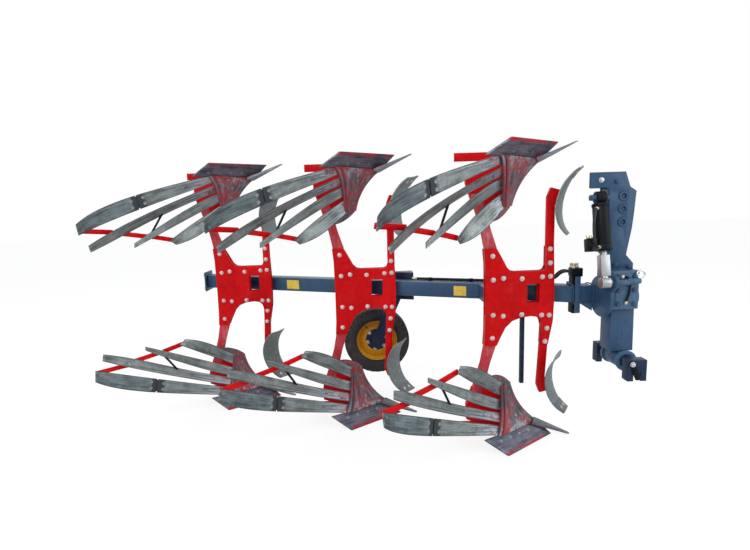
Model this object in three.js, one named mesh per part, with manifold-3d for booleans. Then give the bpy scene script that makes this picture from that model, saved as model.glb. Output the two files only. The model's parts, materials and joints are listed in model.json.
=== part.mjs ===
// A mounted reversible plough with three pairs of bodies, in millimetres.
// +X is the way of travel, +Y the land side and +Z is up. The lower bodies stand on their shares.
import * as THREE from 'three';
import { mergeVertices } from 'three/addons/utils/BufferGeometryUtils.js';
import Module from 'manifold-3d';

const wasm = await Module();
wasm.setup();

// Driving dimensions of the frame
const bodySpacing = 900;
const bodyOffset = 380;
const beamSide = 100;
const beamGap = 5;
const wedgeTall = 92;
const wedgeInset = 14;
const standRoom = 38;
const beamRearOverhang = 170;
const endPlateThick = 14;
const endPlateBorder = 26;

// Fit between neighbours
const gap = 0.3;
const overrun = 20;
const seat = 2;

// Driving dimensions of the body plates, seen from the side
const plateLength = 406;
const unitNames = ['front', 'middle', 'rear'];
const plateRear = -40;
const plateHalf = 290;
const plateThick = 12;
const legThick = 29.4;
const boltHead = 26;
const boltHeadHigh = 9;
const windowWide = 73;
const windowTall = 110;
const windowMiddle = 241;
const windowLift = 18;

// Driving dimensions of one plough body, from the beam's centre to the cutting edge
const bodyDepth = 877;
const boardReach = 680;
const boardSpread = 520;
const slatThick = 8;
const rootThick = 14;
const shareThick = 12;
const pointThick = 20;
const stayWide = 30;
const stayThick = 12;
const stayEnd = 6;
const spacerHigh = 12;
const spacerRadius = 9;
const midStayRadius = 7;
const landsideThick = 14;
const landsideTall = 48;
const landsideLong = 430;
const landsideRear = -207;
const landsideLift = 44;

// Driving dimensions of a skimmer
const skimmerThick = 8;
const skimmerSpread = 125;
const skimmerLowerLift = 25;
const skimmerLowerShift = 42;
const armLong = 600;

// Driving dimensions of the headstock
const axisSide = -60;
const shaftRadius = 45;
const shaftPlay = 1;
const hubThick = 18;
const hubRadius = 118;
const hubFace = 600;
const neckLong = 121;
const neckSetback = 66;
const clampLong = 28;
const clampWall = 12;
const clampRise = 56;
const clampInset = 5;
const crankSide = -130;
const crankRise = 100;
const crankLugRadius = 36;
const pinRadius = 16;
const pinPlay = 0.6;
const towerTop = 691;
const towerBase = 155;
const towerLong = 256;
const towerRear = 501;
const towerHalf = 45;
const towerPlate = 14;
const capThick = 16;
const linkHole = 15;
const housingRear = 623;
const housingLong = 150;
const housingHalf = 88;
const housingDrop = 62;
const flangeThick = 12;
const flangeRadius = 72;
const shaftNose = 14;
const dragLegHalf = 55;
const dragLegRear = 640;
const dragLegTopLong = 130;
const dragLegFootLong = 133;
const collarWall = 16;
const collarHalf = 76;
const crossRadius = 36;
const crossHalf = 190;
const crossDepth = 362;
const crossAhead = 722;
const clawThick = 55;
const clawWide = 104;
const clawTall = 118;
const clawDrop = 78;
const clawMouth = 40;
const clawMouthDeep = 48;

// Driving dimensions of the turnover cylinder
const pivotRise = 555;
const pivotSide = -45;
const eyeRadius = 34;
const barrelRadius = 42;
const barrelLong = 292;
const rodTop = 50;
const eyeWide = 50;
const pinShort = 1;
const rodRadius = 19;
const rodEyeRadius = 30;
const cylinderSlab = 84;
const valveWide = 46;
const valveTall = 70;
const valveDeep = 60;

// Driving dimensions of the depth wheel
const wheelAhead = -662;
const wheelDepth = 490;
const wheelSide = 930;
const tyreRadius = 255;
const tyreWide = 158;
const rimRadius = 160;
const rimWide = 118;
const rimThick = 8;
const wheelHubRadius = 46;
const wheelHubHalf = 52;
const axleRadius = 20;
const axlePlay = 1;
const armPivotAhead = -480;
const armStandoff = 79.25;
const armPivotRadius = 42;
const armBossLong = 72;
const armWide = 74;
const armThick = 34;
const bracketLong = 150;
const bracketTall = 190;
const bracketThick = 14;
const stopThick = 28;
const stopLong = 84;
const stopReach = 36;

// Driving dimensions of the parking stand
const standAhead = 208;
const standSide = 24;
const standFoot = 560;
const standTop = 140;
const socketBelow = 100;
const socketAbove = 45;
const socketWall = 7;
const socketPlay = 0.6;

// Sides of the faceted round pieces
const fine = 32;
const round = 24;
const small = 16;
const hex = 6;
const steps = 6;

// What follows from the sizes above
const beamSlope = bodyOffset / bodySpacing;
const beamDeep = beamSide * Math.hypot(1, beamSlope);
const plateFront = plateRear + plateLength;
const legNear = plateThick + gap;
const legFar = legNear + legThick;
const farNear = legFar + gap;
const farFace = farNear + plateThick;
const beamFront = hubFace - neckLong;
const beamRear = plateRear - 2 * bodySpacing - beamRearOverhang;
const beamNearAt = (x) => farFace + beamGap + (plateFront - x) * beamSlope;
const beamFarAt = (x) => beamNearAt(x) + beamDeep;
const armBossNear = beamFarAt(armPivotAhead) + armStandoff;
const dragLegDepth = crossDepth - crossRadius - collarWall - housingDrop;

const paints = {
  red: { color: 0xc8101c, roughness: 0.42, metalness: 0.1 },
  legRed: { color: 0xc9485a, roughness: 0.5, metalness: 0.1 },
  steel: { color: 0x7e8986, roughness: 0.4, metalness: 0.7 },
  shareSteel: { color: 0x565c66, roughness: 0.5, metalness: 0.6 },
  blue: { color: 0x2f4f74, roughness: 0.45, metalness: 0.2 },
  navy: { color: 0x202b40, roughness: 0.5, metalness: 0.2 },
  black: { color: 0x15171a, roughness: 0.5, metalness: 0.2 },
  chrome: { color: 0xc4c8cc, roughness: 0.15, metalness: 1 },
  rubber: { color: 0x1b1c1e, roughness: 0.85, metalness: 0 },
  yellow: { color: 0xe0a21c, roughness: 0.45, metalness: 0.1 },
};

// Solids from three.js shapes
function solid(geometry) {
  const bare = geometry.clone();
  bare.deleteAttribute('normal');
  bare.deleteAttribute('uv');
  const merged = mergeVertices(bare, 1e-4);
  return new wasm.Manifold(new wasm.Mesh({
    numProp: 3,
    vertProperties: new Float32Array(merged.attributes.position.array),
    triVerts: new Uint32Array(merged.index.array),
  }));
}

function join(...solids) {
  return solids.reduce((whole, next) => whole.add(next));
}

function geometryOf(body) {
  const mesh = body.getMesh();
  const geometry = new THREE.BufferGeometry();
  geometry.setAttribute('position', new THREE.BufferAttribute(new Float32Array(mesh.vertProperties), 3));
  geometry.setIndex(new THREE.BufferAttribute(new Uint32Array(mesh.triVerts), 1));
  return geometry;
}

// The same solid on the other side of the beam's axis
function flipped(body) {
  const geometry = geometryOf(body);
  const place = geometry.attributes.position;
  for (let i = 0; i < place.count; i += 1) {
    place.setZ(i, -place.getZ(i));
  }
  const index = geometry.index.array;
  for (let i = 0; i < index.length; i += 3) {
    [index[i], index[i + 1]] = [index[i + 1], index[i]];
  }
  return solid(geometry);
}

function block(x, y, z) {
  const geometry = new THREE.BoxGeometry(x[1] - x[0], y[1] - y[0], z[1] - z[0]);
  geometry.translate((x[0] + x[1]) / 2, (y[0] + y[1]) / 2, (z[0] + z[1]) / 2);
  return solid(geometry);
}

// A round bar between two points
function bar(radius, from, to, sides) {
  const start = new THREE.Vector3(...from);
  const along = new THREE.Vector3(...to).sub(start);
  const geometry = new THREE.CylinderGeometry(radius, radius, along.length(), sides);
  geometry.applyQuaternion(new THREE.Quaternion().setFromUnitVectors(
    new THREE.Vector3(0, 1, 0), along.clone().normalize()));
  geometry.translate(...start.addScaledVector(along, 0.5).toArray());
  return solid(geometry);
}

// A flat bar between two points, its thickness along the direction that it faces
function strut(from, to, wide, thick, facing) {
  const start = new THREE.Vector3(...from);
  const along = new THREE.Vector3(...to).sub(start);
  const geometry = new THREE.BoxGeometry(along.length(), thick, wide);
  const ahead = along.clone().normalize();
  const towards = new THREE.Vector3(...facing);
  const side = towards.addScaledVector(ahead, -towards.dot(ahead)).normalize();
  geometry.applyMatrix4(new THREE.Matrix4().makeBasis(ahead, side, ahead.clone().cross(side)));
  geometry.translate(...start.addScaledVector(along, 0.5).toArray());
  return solid(geometry);
}

function extruded(points, depth, holes = []) {
  const outline = new THREE.Shape(points.map(([a, b]) => new THREE.Vector2(a, b)));
  for (const hole of holes) {
    outline.holes.push(new THREE.Path(hole.map(([a, b]) => new THREE.Vector2(a, b))));
  }
  return new THREE.ExtrudeGeometry(outline, { depth, bevelEnabled: false });
}

// An outline in X and Z, from one Y to another
function sidePlate(points, near, far, holes = []) {
  const geometry = extruded(points, far - near, holes);
  geometry.rotateX(Math.PI / 2);
  geometry.translate(0, far, 0);
  return solid(geometry);
}

// An outline in X and Y, from one Z to another
function levelPlate(points, low, high) {
  const geometry = extruded(points, high - low);
  geometry.translate(0, 0, low);
  return solid(geometry);
}

function circle(centre, radius, sides) {
  return Array.from({ length: sides }, (_, i) => {
    const turn = (i / sides) * 2 * Math.PI;
    return [centre[0] + radius * Math.cos(turn), centre[1] + radius * Math.sin(turn)];
  });
}

// The middle of a strip between two edges at a share of its length, and the direction behind its face
function stationAt(outer, inner, along) {
  const small = 0.5 / steps;
  const middle = (u) => outer(u).lerp(inner(u), 0.5);
  const across = inner(along).sub(outer(along)).normalize();
  const ahead = middle(Math.min(along + small, 1)).sub(middle(Math.max(along - small, 0))).normalize();
  const behind = ahead.clone().cross(across).normalize();
  return { middle: middle(along), across, ahead, behind };
}

// A curved strip of plate between two edges, from one depth behind its face to another
function strip(outer, inner, front, back, grow = 0, pieces = steps) {
  const corners = [];
  for (let i = 0; i <= pieces; i += 1) {
    const { across, ahead, behind } = stationAt(outer, inner, i / pieces);
    const end = i === 0 ? -grow : i === pieces ? grow : 0;
    const first = outer(i / pieces).addScaledVector(across, -grow).addScaledVector(ahead, end);
    const last = inner(i / pieces).addScaledVector(across, grow).addScaledVector(ahead, end);
    corners.push(
      first.clone().addScaledVector(behind, front - grow),
      last.clone().addScaledVector(behind, front - grow),
      last.clone().addScaledVector(behind, back + grow),
      first.clone().addScaledVector(behind, back + grow),
    );
  }
  const tail = 4 * pieces;
  const index = [0, 2, 1, 0, 3, 2, tail, tail + 1, tail + 2, tail, tail + 2, tail + 3];
  for (let i = 0; i < tail; i += 1) {
    const next = i % 4 === 3 ? i - 3 : i + 1;
    index.push(i, next, i + 4, next, next + 4, i + 4);
  }
  const geometry = new THREE.BufferGeometry();
  const place = corners.flatMap((corner) => corner.toArray());
  geometry.setAttribute('position', new THREE.BufferAttribute(new Float32Array(place), 3));
  geometry.setIndex(index);
  return solid(geometry);
}

// A lathed body about the Y axis, its profile given as radius and Y
function turned(profile, sides, centre) {
  const geometry = new THREE.LatheGeometry(profile.map(([r, y]) => new THREE.Vector2(r, y)), sides);
  geometry.translate(...centre);
  return solid(geometry);
}

// The body plates: shares of the plate's length and half height
const plateShares = [
  [-0.015, -1], [0, -0.69], [0.005, 0], [0, 0.69], [-0.018, 0.98],
  [0.164, 0.98], [0.24, 0.79], [0.31, 0.6], [0.37, 0.525], [0.44, 0.51],
  [0.81, 0.51], [0.855, 0.54], [0.876, 0.61], [0.876, 1], [0.977, 1],
  [0.985, 0.69], [1, 0], [0.985, -0.52], [0.92, -1],
  [0.822, -1], [0.833, -0.62], [0.81, -0.5], [0.76, -0.43], [0.664, -0.408],
  [0.52, -0.43], [0.39, -0.5], [0.295, -0.63], [0.22, -0.84], [0.17, -1],
];
const boltShares = [
  [0.101, 0.838], [0.111, 0.36], [0.258, 0.386], [0.525, 0.366], [0.816, 0.39], [0.932, 0.397],
  [0.927, 0.666], [0.922, 0.945],
  [0.101, -0.838], [0.111, -0.36], [0.258, -0.386], [0.525, -0.366], [0.816, -0.39], [0.925, -0.397],
  [0.896, -0.666], [0.874, -0.945],
];

const plateAt = ([along, up]) => [plateRear + along * plateLength, up * plateHalf];
const plateOutline = plateShares.map(plateAt);
const bolts = boltShares.map(plateAt);
const windowOutline = [
  [windowMiddle - windowWide / 2, windowLift - windowTall / 2],
  [windowMiddle + windowWide / 2, windowLift - windowTall / 2],
  [windowMiddle + windowWide / 2, windowLift + windowTall / 2],
  [windowMiddle - windowWide / 2, windowLift + windowTall / 2],
];

function nearPlate() {
  const plate = sidePlate(plateOutline, 0, plateThick, [windowOutline]);
  const heads = bolts.map(([x, z]) => bar(boltHead / 2, [x, -boltHeadHigh, z], [x, plateThick / 2, z], hex));
  return join(plate, ...heads);
}

function farPlate() {
  return sidePlate(plateOutline, farNear, farFace, [windowOutline]);
}

// The leg between the plates: shares of the plate's length and the body's depth
const legShares = [
  [0.01, 0.12], [-0.01, 0.33], [-0.06, 0.45], [-0.14, 0.57], [-0.215, 0.685],
  [-0.05, 0.685], [0.02, 0.57], [0.085, 0.45], [0.17, 0.33], [0.19, 0.12],
];
const legAt = ([along, down]) => [plateRear + along * plateLength, -down * bodyDepth];
const legOutline = legShares.map(legAt);

// Places on a body: shares of the board's reach, its spread and the body's depth
const onBody = ([along, side, down]) => new THREE.Vector3(
  along * boardReach, side * boardSpread, -down * bodyDepth);
function edge(shares) {
  const curve = new THREE.CubicBezierCurve3(...shares.map(onBody));
  return (u) => curve.getPoint(u);
}
function straight(shares) {
  const [from, to] = shares.map(onBody);
  return (u) => from.clone().lerp(to, u);
}

const slatShares = [
  {
    outer: [[-0.01, -0.22, 0.905], [-0.56, -0.55, 0.79], [-0.88, -0.84, 0.7], [-0.978, -1.05, 0.565]],
    inner: [[0.065, -0.13, 0.865], [-0.56, -0.54, 0.68], [-0.87, -0.79, 0.565], [-0.99, -1, 0.49]],
  },
  {
    outer: [[0.11, -0.1, 0.86], [-0.39, -0.43, 0.69], [-0.74, -0.73, 0.545], [-0.905, -1.02, 0.417]],
    inner: [[0.115, -0.05, 0.8], [-0.405, -0.325, 0.66], [-0.735, -0.635, 0.465], [-0.9, -1, 0.37]],
  },
  {
    outer: [[0.1, -0.07, 0.775], [0.03, -0.04, 0.78], [-0.18, -0.2, 0.7], [-0.63, -0.68, 0.413]],
    inner: [[0.11, -0.04, 0.71], [0.045, 0, 0.71], [-0.15, -0.135, 0.62], [-0.63, -0.69, 0.378]],
  },
  {
    outer: [[0.11, -0.02, 0.7], [-0.05, -0.025, 0.627], [-0.22, -0.2, 0.545], [-0.363, -0.45, 0.416]],
    inner: [[0.13, 0, 0.604], [0.03, -0.1, 0.57], [-0.1, -0.25, 0.42], [-0.334, -0.375, 0.38]],
  },
];
const shinShares = {
  land: [[0.426, 0.08, 0.895], [0.316, 0.067, 0.838], [0.206, 0.048, 0.741], [0.17, 0.077, 0.6]],
  board: [[0.045, -0.21, 0.912], [0.09, -0.135, 0.844], [0.09, -0.077, 0.73], [0.09, -0.04, 0.593]],
};
const shareShares = {
  front: [[0.56, 0.06, 0.995], [0.069, -0.385, 0.995]],
  rear: [[0.434, 0.087, 0.9], [-0.125, -0.317, 0.9]],
};
const pointShares = {
  front: [[0.735, 0.09, 0.99], [0.725, 0.045, 0.99]],
  rear: [[0.4, 0.09, 0.878], [0.36, -0.02, 0.886]],
};
const rootShares = [-0.12, 0.35];
// Where each bar behind the slats begins and ends: shares of a slat's length and width
const tailStayEnds = [[[0.94, 0.9], [0.77, 0.25]], [[0.72, 0.85], [0.93, 0.25]], [[0.9, 0.85], [0.97, 0.3]]];
const midStayEnds = [[0.4, 0.8], [0.9, 0.2]];
const crestShares = [[0.17, 0.077, 0.6], [0.15, 0.06, 0.575], [0.05, -0.05, 0.505], [-0.03, -0.158, 0.508]];
const crestReach = 0.45;
const crestOver = 0.85;
const frogShares = [
  [-0.169, 0.633], [-0.22, 0.753], [-0.22, 0.912], [-0.176, 0.949], [0.4, 0.962], [0.44, 0.95],
  [0.385, 0.9], [0.294, 0.844], [0.191, 0.753], [0.154, 0.673], [0.132, 0.616], [-0.029, 0.6],
];

const shinLand = edge(shinShares.land);
const shinBoard = edge(shinShares.board);
const slats = slatShares.map(({ outer, inner }) => ({ outer: edge(outer), inner: edge(inner) }));
// The plate that closes the corner between the shin's top and the topmost slat
function crest(grow) {
  const { outer, inner } = slats[slats.length - 1];
  const lower = (u) => outer(crestReach * u).lerp(inner(crestReach * u), crestOver);
  return strip(lower, edge(crestShares), 0, slatThick, grow);
}

// The shin, the four slats and the crest, thicker all round when they cut a clearance
function boardPlates(grow = 0) {
  return [
    strip(shinBoard, shinLand, -slatThick, 0, grow),
    ...slats.map(({ outer, inner }) => strip(outer, inner, 0, slatThick, grow)),
    crest(grow),
  ];
}

// The plate behind the shin that the roots of the slats are fixed to
function rootPlate(grow = 0) {
  const [boardSide, landSide] = rootShares.map((share) => (u) => shinBoard(u).lerp(shinLand(u), share));
  return strip(boardSide, landSide, -seat, rootThick, grow);
}

function behindSlat({ outer, inner }, [along, across], depth) {
  const { behind } = stationAt(outer, inner, along);
  return { point: outer(along).lerp(inner(along), across).addScaledVector(behind, depth), behind };
}

// The round spacer between the back of a slat and a bar behind it
function spacer(slat, place, depth) {
  const foot = behindSlat(slat, place, slatThick / 2).point;
  return bar(spacerRadius, foot.toArray(), behindSlat(slat, place, depth).point.toArray(), small);
}

// The bars that tie the tails of the slats together, on spacers
function tailStays() {
  const depth = slatThick + spacerHigh + stayThick / 2;
  return tailStayEnds.flatMap(([first, last], i) => {
    const [from, to] = [behindSlat(slats[i], first, depth), behindSlat(slats[i + 1], last, depth)];
    const over = to.point.clone().sub(from.point).setLength(stayEnd);
    const ends = [from.point.sub(over), to.point.add(over)].map((end) => end.toArray());
    const facing = from.behind.clone().add(to.behind).toArray();
    return [
      strut(...ends, stayWide, stayThick, facing),
      spacer(slats[i], first, depth),
      spacer(slats[i + 1], last, depth),
    ];
  });
}

function midStay() {
  const [from, to] = midStayEnds.map((place, i) => behindSlat(slats[i + 1], place, slatThick));
  return bar(midStayRadius, from.point.toArray(), to.point.toArray(), small);
}

function sharePlates(grow = 0) {
  const blade = strip(straight(shareShares.front), straight(shareShares.rear), 0, shareThick, grow, 1);
  const point = strip(straight(pointShares.front), straight(pointShares.rear), -shareThick / 2,
    pointThick - shareThick / 2, grow, 1);
  return join(blade, point);
}

function share() {
  const soil = block([-boardReach, boardReach], [-boardSpread, boardSpread],
    [-bodyDepth - overrun, -bodyDepth]);
  return sharePlates().subtract(soil);
}

function board() {
  const whole = join(...boardPlates(), rootPlate(), ...tailStays(), midStay());
  const under = strip(straight(shareShares.front), straight(shareShares.rear), 0, shareThick + rootThick,
    gap, 1);
  return whole.subtract(sharePlates(gap)).subtract(under);
}

const legGrown = (grow) => legOutline.map(([x, z], i) => [
  x + (i < legOutline.length / 2 ? -grow : grow), z - grow]);

function leg() {
  return sidePlate(legOutline, legNear, legFar);
}

function frog() {
  const outline = frogShares.map(([along, down]) => [along * boardReach, -down * bodyDepth]);
  const pocket = sidePlate(legGrown(2 * gap), legNear - overrun, legFar + gap);
  const body = sidePlate(outline, legNear, farFace).subtract(pocket);
  return body
    .subtract(join(...boardPlates(gap), rootPlate(gap)))
    .subtract(sharePlates(gap));
}

function landside() {
  const low = -bodyDepth + landsideLift;
  return block([landsideRear, landsideRear + landsideLong], [farFace + gap, farFace + gap + landsideThick],
    [low, low + landsideTall]);
}

// The skimmer arm: shares of the plate's length and the arm's length
const armShares = [
  [0.877, 0.275], [0.877, 0.5], [0.877, 0.95], [0.93, 1.04],
  [1.13, 1], [1.11, 0.93], [0.99, 0.87], [0.99, 0.5], [0.99, 0.275],
];
const skimmerShares = {
  land: [[1.411, 1.23], [1.133, 1.083], [1.022, 0.75], [1.241, 0.598]],
  wing: [[1.219, 1.197], [0.911, 1.083], [0.776, 0.75], [1.071, 0.597]],
};

// Towards the ground an arm leans back and its end is lifted a little
function armAt([along, down], side, { lean, lift }) {
  const below = (down * armLong - plateHalf / 2) / (armLong - plateHalf / 2);
  const back = lean * (0.4 + 0.6 * below);
  return new THREE.Vector3(plateRear + along * plateLength - back, side, lift * below - down * armLong);
}

function skimmer(set) {
  const outline = armShares.map((share) => armAt(share, 0, set)).map(({ x, z }) => [x, z]);
  const arm = sidePlate(outline, legNear, legFar);
  const landSide = new THREE.CubicBezierCurve3(
    ...skimmerShares.land.map((share) => armAt(share, legFar, set)));
  const wingSide = new THREE.CubicBezierCurve3(
    ...skimmerShares.wing.map((share) => armAt(share, legFar - skimmerSpread, set)));
  return join(arm, strip((u) => wingSide.getPoint(u), (u) => landSide.getPoint(u), 0, skimmerThick));
}

// The beam, its brackets and its neck
const beamOutline = (grow) => [
  [beamRear, beamNearAt(beamRear) - grow], [beamFront, beamNearAt(beamFront) - grow],
  [beamFront, beamNearAt(beamFront) + beamDeep + grow], [beamRear, beamNearAt(beamRear) + beamDeep + grow],
];

function beamBody(grow) {
  return levelPlate(beamOutline(grow), -beamSide / 2 - grow, beamSide / 2 + grow);
}

// The wedge that fills the space between a pair of plates and the beam
function wedge(from, to) {
  const near = farFace + gap;
  return levelPlate([
    [from, near], [to, near], [to, beamNearAt(to) + seat], [from, beamNearAt(from) + seat],
  ], -wedgeTall / 2, wedgeTall / 2);
}

function neck(grow) {
  const near = axisSide + neckSetback - grow;
  const half = beamSide / 2 + grow;
  return block([beamFront - seat, hubFace - gap], [near, near + 2 * half], [-half, half]);
}

function beam() {
  const wedges = unitNames.flatMap((_, i) => [
    wedge(plateRear + wedgeInset, windowMiddle - windowWide / 2 - standRoom),
    wedge(windowMiddle + windowWide / 2 + wedgeInset, plateFront - wedgeInset / 2),
  ].map((piece) => piece.translate([-i * bodySpacing, i * bodyOffset, 0])));
  return join(beamBody(0), neck(0), ...wedges);
}

// The clamp on the neck, with a stop above and one below
function neckClamp() {
  const rear = beamFront + clampInset;
  const along = [rear, rear + clampLong];
  const middle = axisSide + neckSetback + beamSide / 2;
  const half = beamSide / 2 + clampWall;
  const ring = block(along, [middle - half, middle + half], [-half, half]);
  const stops = block(along, [middle - clampRise / 2, middle + clampRise / 2],
    [-half - clampRise, half + clampRise]);
  return join(ring, stops).subtract(neck(gap)).subtract(beamBody(gap));
}

function endPlate() {
  const near = beamNearAt(beamRear) - endPlateBorder;
  const far = near + beamDeep + 2 * endPlateBorder;
  const rise = beamSide / 2 + endPlateBorder;
  return block([beamRear - gap - endPlateThick, beamRear - gap], [near, far], [-rise, rise]);
}

function turnoverShaft() {
  const crank = [axisSide + crankSide, crankRise];
  const arm = strut([hubFace + hubThick / 2, axisSide, 0], [hubFace + hubThick / 2, ...crank],
    2 * crankLugRadius, hubThick, [1, 0, 0]);
  const lug = bar(crankLugRadius, [hubFace, ...crank], [hubFace + hubThick, ...crank], round);
  const disc = bar(hubRadius, [hubFace, axisSide, 0], [hubFace + hubThick, axisSide, 0], fine);
  const front = housingRear + housingLong;
  const shaft = bar(shaftRadius, [hubFace, axisSide, 0],
    [front + flangeThick + shaftNose, axisSide, 0], round);
  const flange = bar(flangeRadius, [front + gap, axisSide, 0], [front + flangeThick, axisSide, 0], round);
  return join(disc, arm, lug, shaft, flange);
}

// The headstock: shares of the tower's length and height
const towerShares = [
  [0, 1], [0, 0.845], [0.39, 0.845], [0.39, 0.57], [0.398, 0.177], [0.484, 0.112], [0.484, 0],
  [1, 0], [1, 0.065], [0.836, 0.155], [0.934, 0.422], [0.965, 0.562], [1, 0.806], [0.863, 0.849], [0.754, 1],
];
const linkHoleShares = [[0.72, 0.756], [0.72, 0.625], [0.72, 0.494]];
const towerAt = ([along, up]) => [towerRear + along * towerLong, towerBase + up * (towerTop - towerBase)];

function tower() {
  const outline = towerShares.map(towerAt);
  const holes = linkHoleShares.map(towerAt).map((centre) => circle(centre, linkHole, small));
  const near = sidePlate(outline, axisSide - towerHalf, axisSide - towerHalf + towerPlate, holes);
  const far = sidePlate(outline, axisSide + towerHalf - towerPlate, axisSide + towerHalf, holes);
  const between = [axisSide - towerHalf + towerPlate - seat, axisSide + towerHalf - towerPlate + seat];
  const [closingRear, closingBase] = towerAt(towerShares[4]);
  const [, closingTop] = towerAt(towerShares[1]);
  const closing = block([closingRear, closingRear + towerPlate], between, [closingBase, closingTop]);
  const [capFront] = towerAt(towerShares[towerShares.length - 1]);
  const cap = block([towerRear, capFront], between, [towerTop - capThick, towerTop]);
  const pin = bar(pinRadius, [towerRear, axisSide + pivotSide, pivotRise],
    [closingRear + seat, axisSide + pivotSide, pivotRise], small);
  return join(near, far, closing, cap, pin);
}

function housing() {
  const top = towerBase - gap;
  const box = block([housingRear, housingRear + housingLong],
    [axisSide - housingHalf, axisSide + housingHalf], [-housingDrop, top]);
  return box.subtract(bar(shaftRadius + shaftPlay, [housingRear - overrun, axisSide, 0],
    [housingRear + housingLong + overrun, axisSide, 0], round));
}

function headstockLeg() {
  const top = -housingDrop - gap;
  const outline = [
    [dragLegRear, top],
    [dragLegRear, top - dragLegDepth],
    [dragLegRear + dragLegFootLong, top - dragLegDepth],
    [dragLegRear + dragLegTopLong, top],
  ];
  const column = sidePlate(outline, axisSide - dragLegHalf, axisSide + dragLegHalf);
  const collar = bar(crossRadius + collarWall, [crossAhead, axisSide - collarHalf, -crossDepth],
    [crossAhead, axisSide + collarHalf, -crossDepth], round);
  const bore = bar(crossRadius + gap, [crossAhead, axisSide - collarHalf - overrun, -crossDepth],
    [crossAhead, axisSide + collarHalf + overrun, -crossDepth], round);
  return join(column, collar).subtract(bore);
}

function crossShaft() {
  const bore = bar(crossRadius, [crossAhead, axisSide - crossHalf + seat, -crossDepth],
    [crossAhead, axisSide + crossHalf - seat, -crossDepth], round);
  const claws = [-1, 1].map((way) => {
    const outer = axisSide + way * crossHalf;
    const side = [Math.min(outer, outer - way * clawThick), Math.max(outer, outer - way * clawThick)];
    const low = -crossDepth - clawDrop;
    const whole = block([crossAhead - clawWide / 2, crossAhead + clawWide / 2], side, [low, low + clawTall]);
    const mouth = block([crossAhead - clawMouth / 2, crossAhead + clawMouth / 2],
      [side[0] - overrun, side[1] + overrun], [low - overrun, low + clawMouthDeep]);
    return whole.subtract(mouth);
  });
  return join(bore, ...claws);
}

// The turnover cylinder hangs from the tower and pushes on the crank
const slabMiddle = hubFace - cylinderSlab / 2 - seat;
const pivot = new THREE.Vector3(slabMiddle, axisSide + pivotSide, pivotRise);
const crankPin = new THREE.Vector3(slabMiddle, axisSide + crankSide, crankRise);
const pull = crankPin.clone().sub(pivot).normalize();
const onCylinder = (reach) => pivot.clone().addScaledVector(pull, reach).toArray();
const aside = (point, x) => [point[0] + x, point[1], point[2]];

function barrel() {
  const head = onCylinder(0);
  const tube = bar(barrelRadius, onCylinder(eyeRadius - seat), onCylinder(barrelLong), round);
  const bore = bar(rodRadius + gap, onCylinder(rodTop - seat), onCylinder(barrelLong + overrun), small);
  const eye = bar(eyeRadius, aside(head, -eyeWide / 2), aside(head, eyeWide / 2), round);
  const hole = bar(pinRadius + pinPlay, aside(head, -eyeWide), aside(head, eyeWide), small);
  return join(tube, eye).subtract(bore).subtract(hole);
}

function rod() {
  const foot = crankPin.toArray();
  const stem = bar(rodRadius, onCylinder(rodTop), foot, small);
  const eye = bar(rodEyeRadius, aside(foot, -eyeWide / 2), aside(foot, eyeWide / 2), round);
  const pin = bar(pinRadius, aside(foot, 0), [hubFace - pinShort, foot[1], foot[2]], small);
  return join(stem, eye, pin);
}

function valveBlock() {
  const shift = -barrelRadius - gap - valveWide / 2;
  return strut(aside(onCylinder(barrelLong - valveTall), shift), aside(onCylinder(barrelLong), shift),
    valveWide, valveDeep, [0, 1, 0]);
}

// The depth wheel on its swinging arm
const wheelCentre = [wheelAhead, wheelSide, -wheelDepth];

function wheelBracket() {
  const front = armPivotAhead + bracketLong / 2;
  const rear = front - bracketLong;
  const far = armBossNear - gap;
  const near = far - bracketThick;
  const foot = levelPlate([
    [rear, beamFarAt(rear) + gap], [front, beamFarAt(front) + gap], [front, far], [rear, far],
  ], -bracketTall / 2, bracketTall / 2);
  const capNear = armBossNear + armBossLong + gap;
  const pin = bar(axleRadius, [armPivotAhead, near, 0], [armPivotAhead, capNear + bracketThick, 0], round);
  const cap = bar(armPivotRadius, [armPivotAhead, capNear, 0],
    [armPivotAhead, capNear + bracketThick, 0], round);
  const along = new THREE.Vector3(wheelAhead - armPivotAhead, 0, -wheelDepth).normalize();
  const ahead = new THREE.Vector3(-along.z, 0, along.x);
  const stops = [1, -1].map((way) => {
    const at = (reach) => {
      const point = new THREE.Vector3(armPivotAhead, 0, 0).addScaledVector(along, reach)
        .addScaledVector(ahead, armWide / 2 + gap + stopThick / 2);
      return [point.x, near + stopLong / 2, way * point.z];
    };
    return strut(at(stopReach), at(stopReach + stopThick), stopThick, stopLong, [0, 1, 0]);
  });
  return join(foot, pin, cap, ...stops);
}

function wheelArm() {
  const hubNear = wheelSide - wheelHubHalf - gap - armBossLong;
  const boss = bar(armPivotRadius, [armPivotAhead, armBossNear, 0],
    [armPivotAhead, armBossNear + armBossLong, 0], round);
  const hub = bar(armPivotRadius, [wheelAhead, hubNear, -wheelDepth],
    [wheelAhead, hubNear + armBossLong, -wheelDepth], round);
  const link = strut([armPivotAhead, armBossNear + armThick / 2 + seat, 0],
    [wheelAhead, hubNear + armBossLong / 2, -wheelDepth], armWide, armThick, [0, 1, 0]);
  const axle = bar(axleRadius, [wheelAhead, hubNear + seat, -wheelDepth],
    [wheelAhead, wheelSide + wheelHubHalf + gap, -wheelDepth], round);
  const hole = bar(axleRadius + axlePlay, [armPivotAhead, armBossNear - overrun, 0],
    [armPivotAhead, armBossNear + armBossLong + overrun, 0], round);
  return join(boss, hub, link, axle).subtract(hole);
}

function closed(profile) {
  return [...profile, profile[0]];
}

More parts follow.
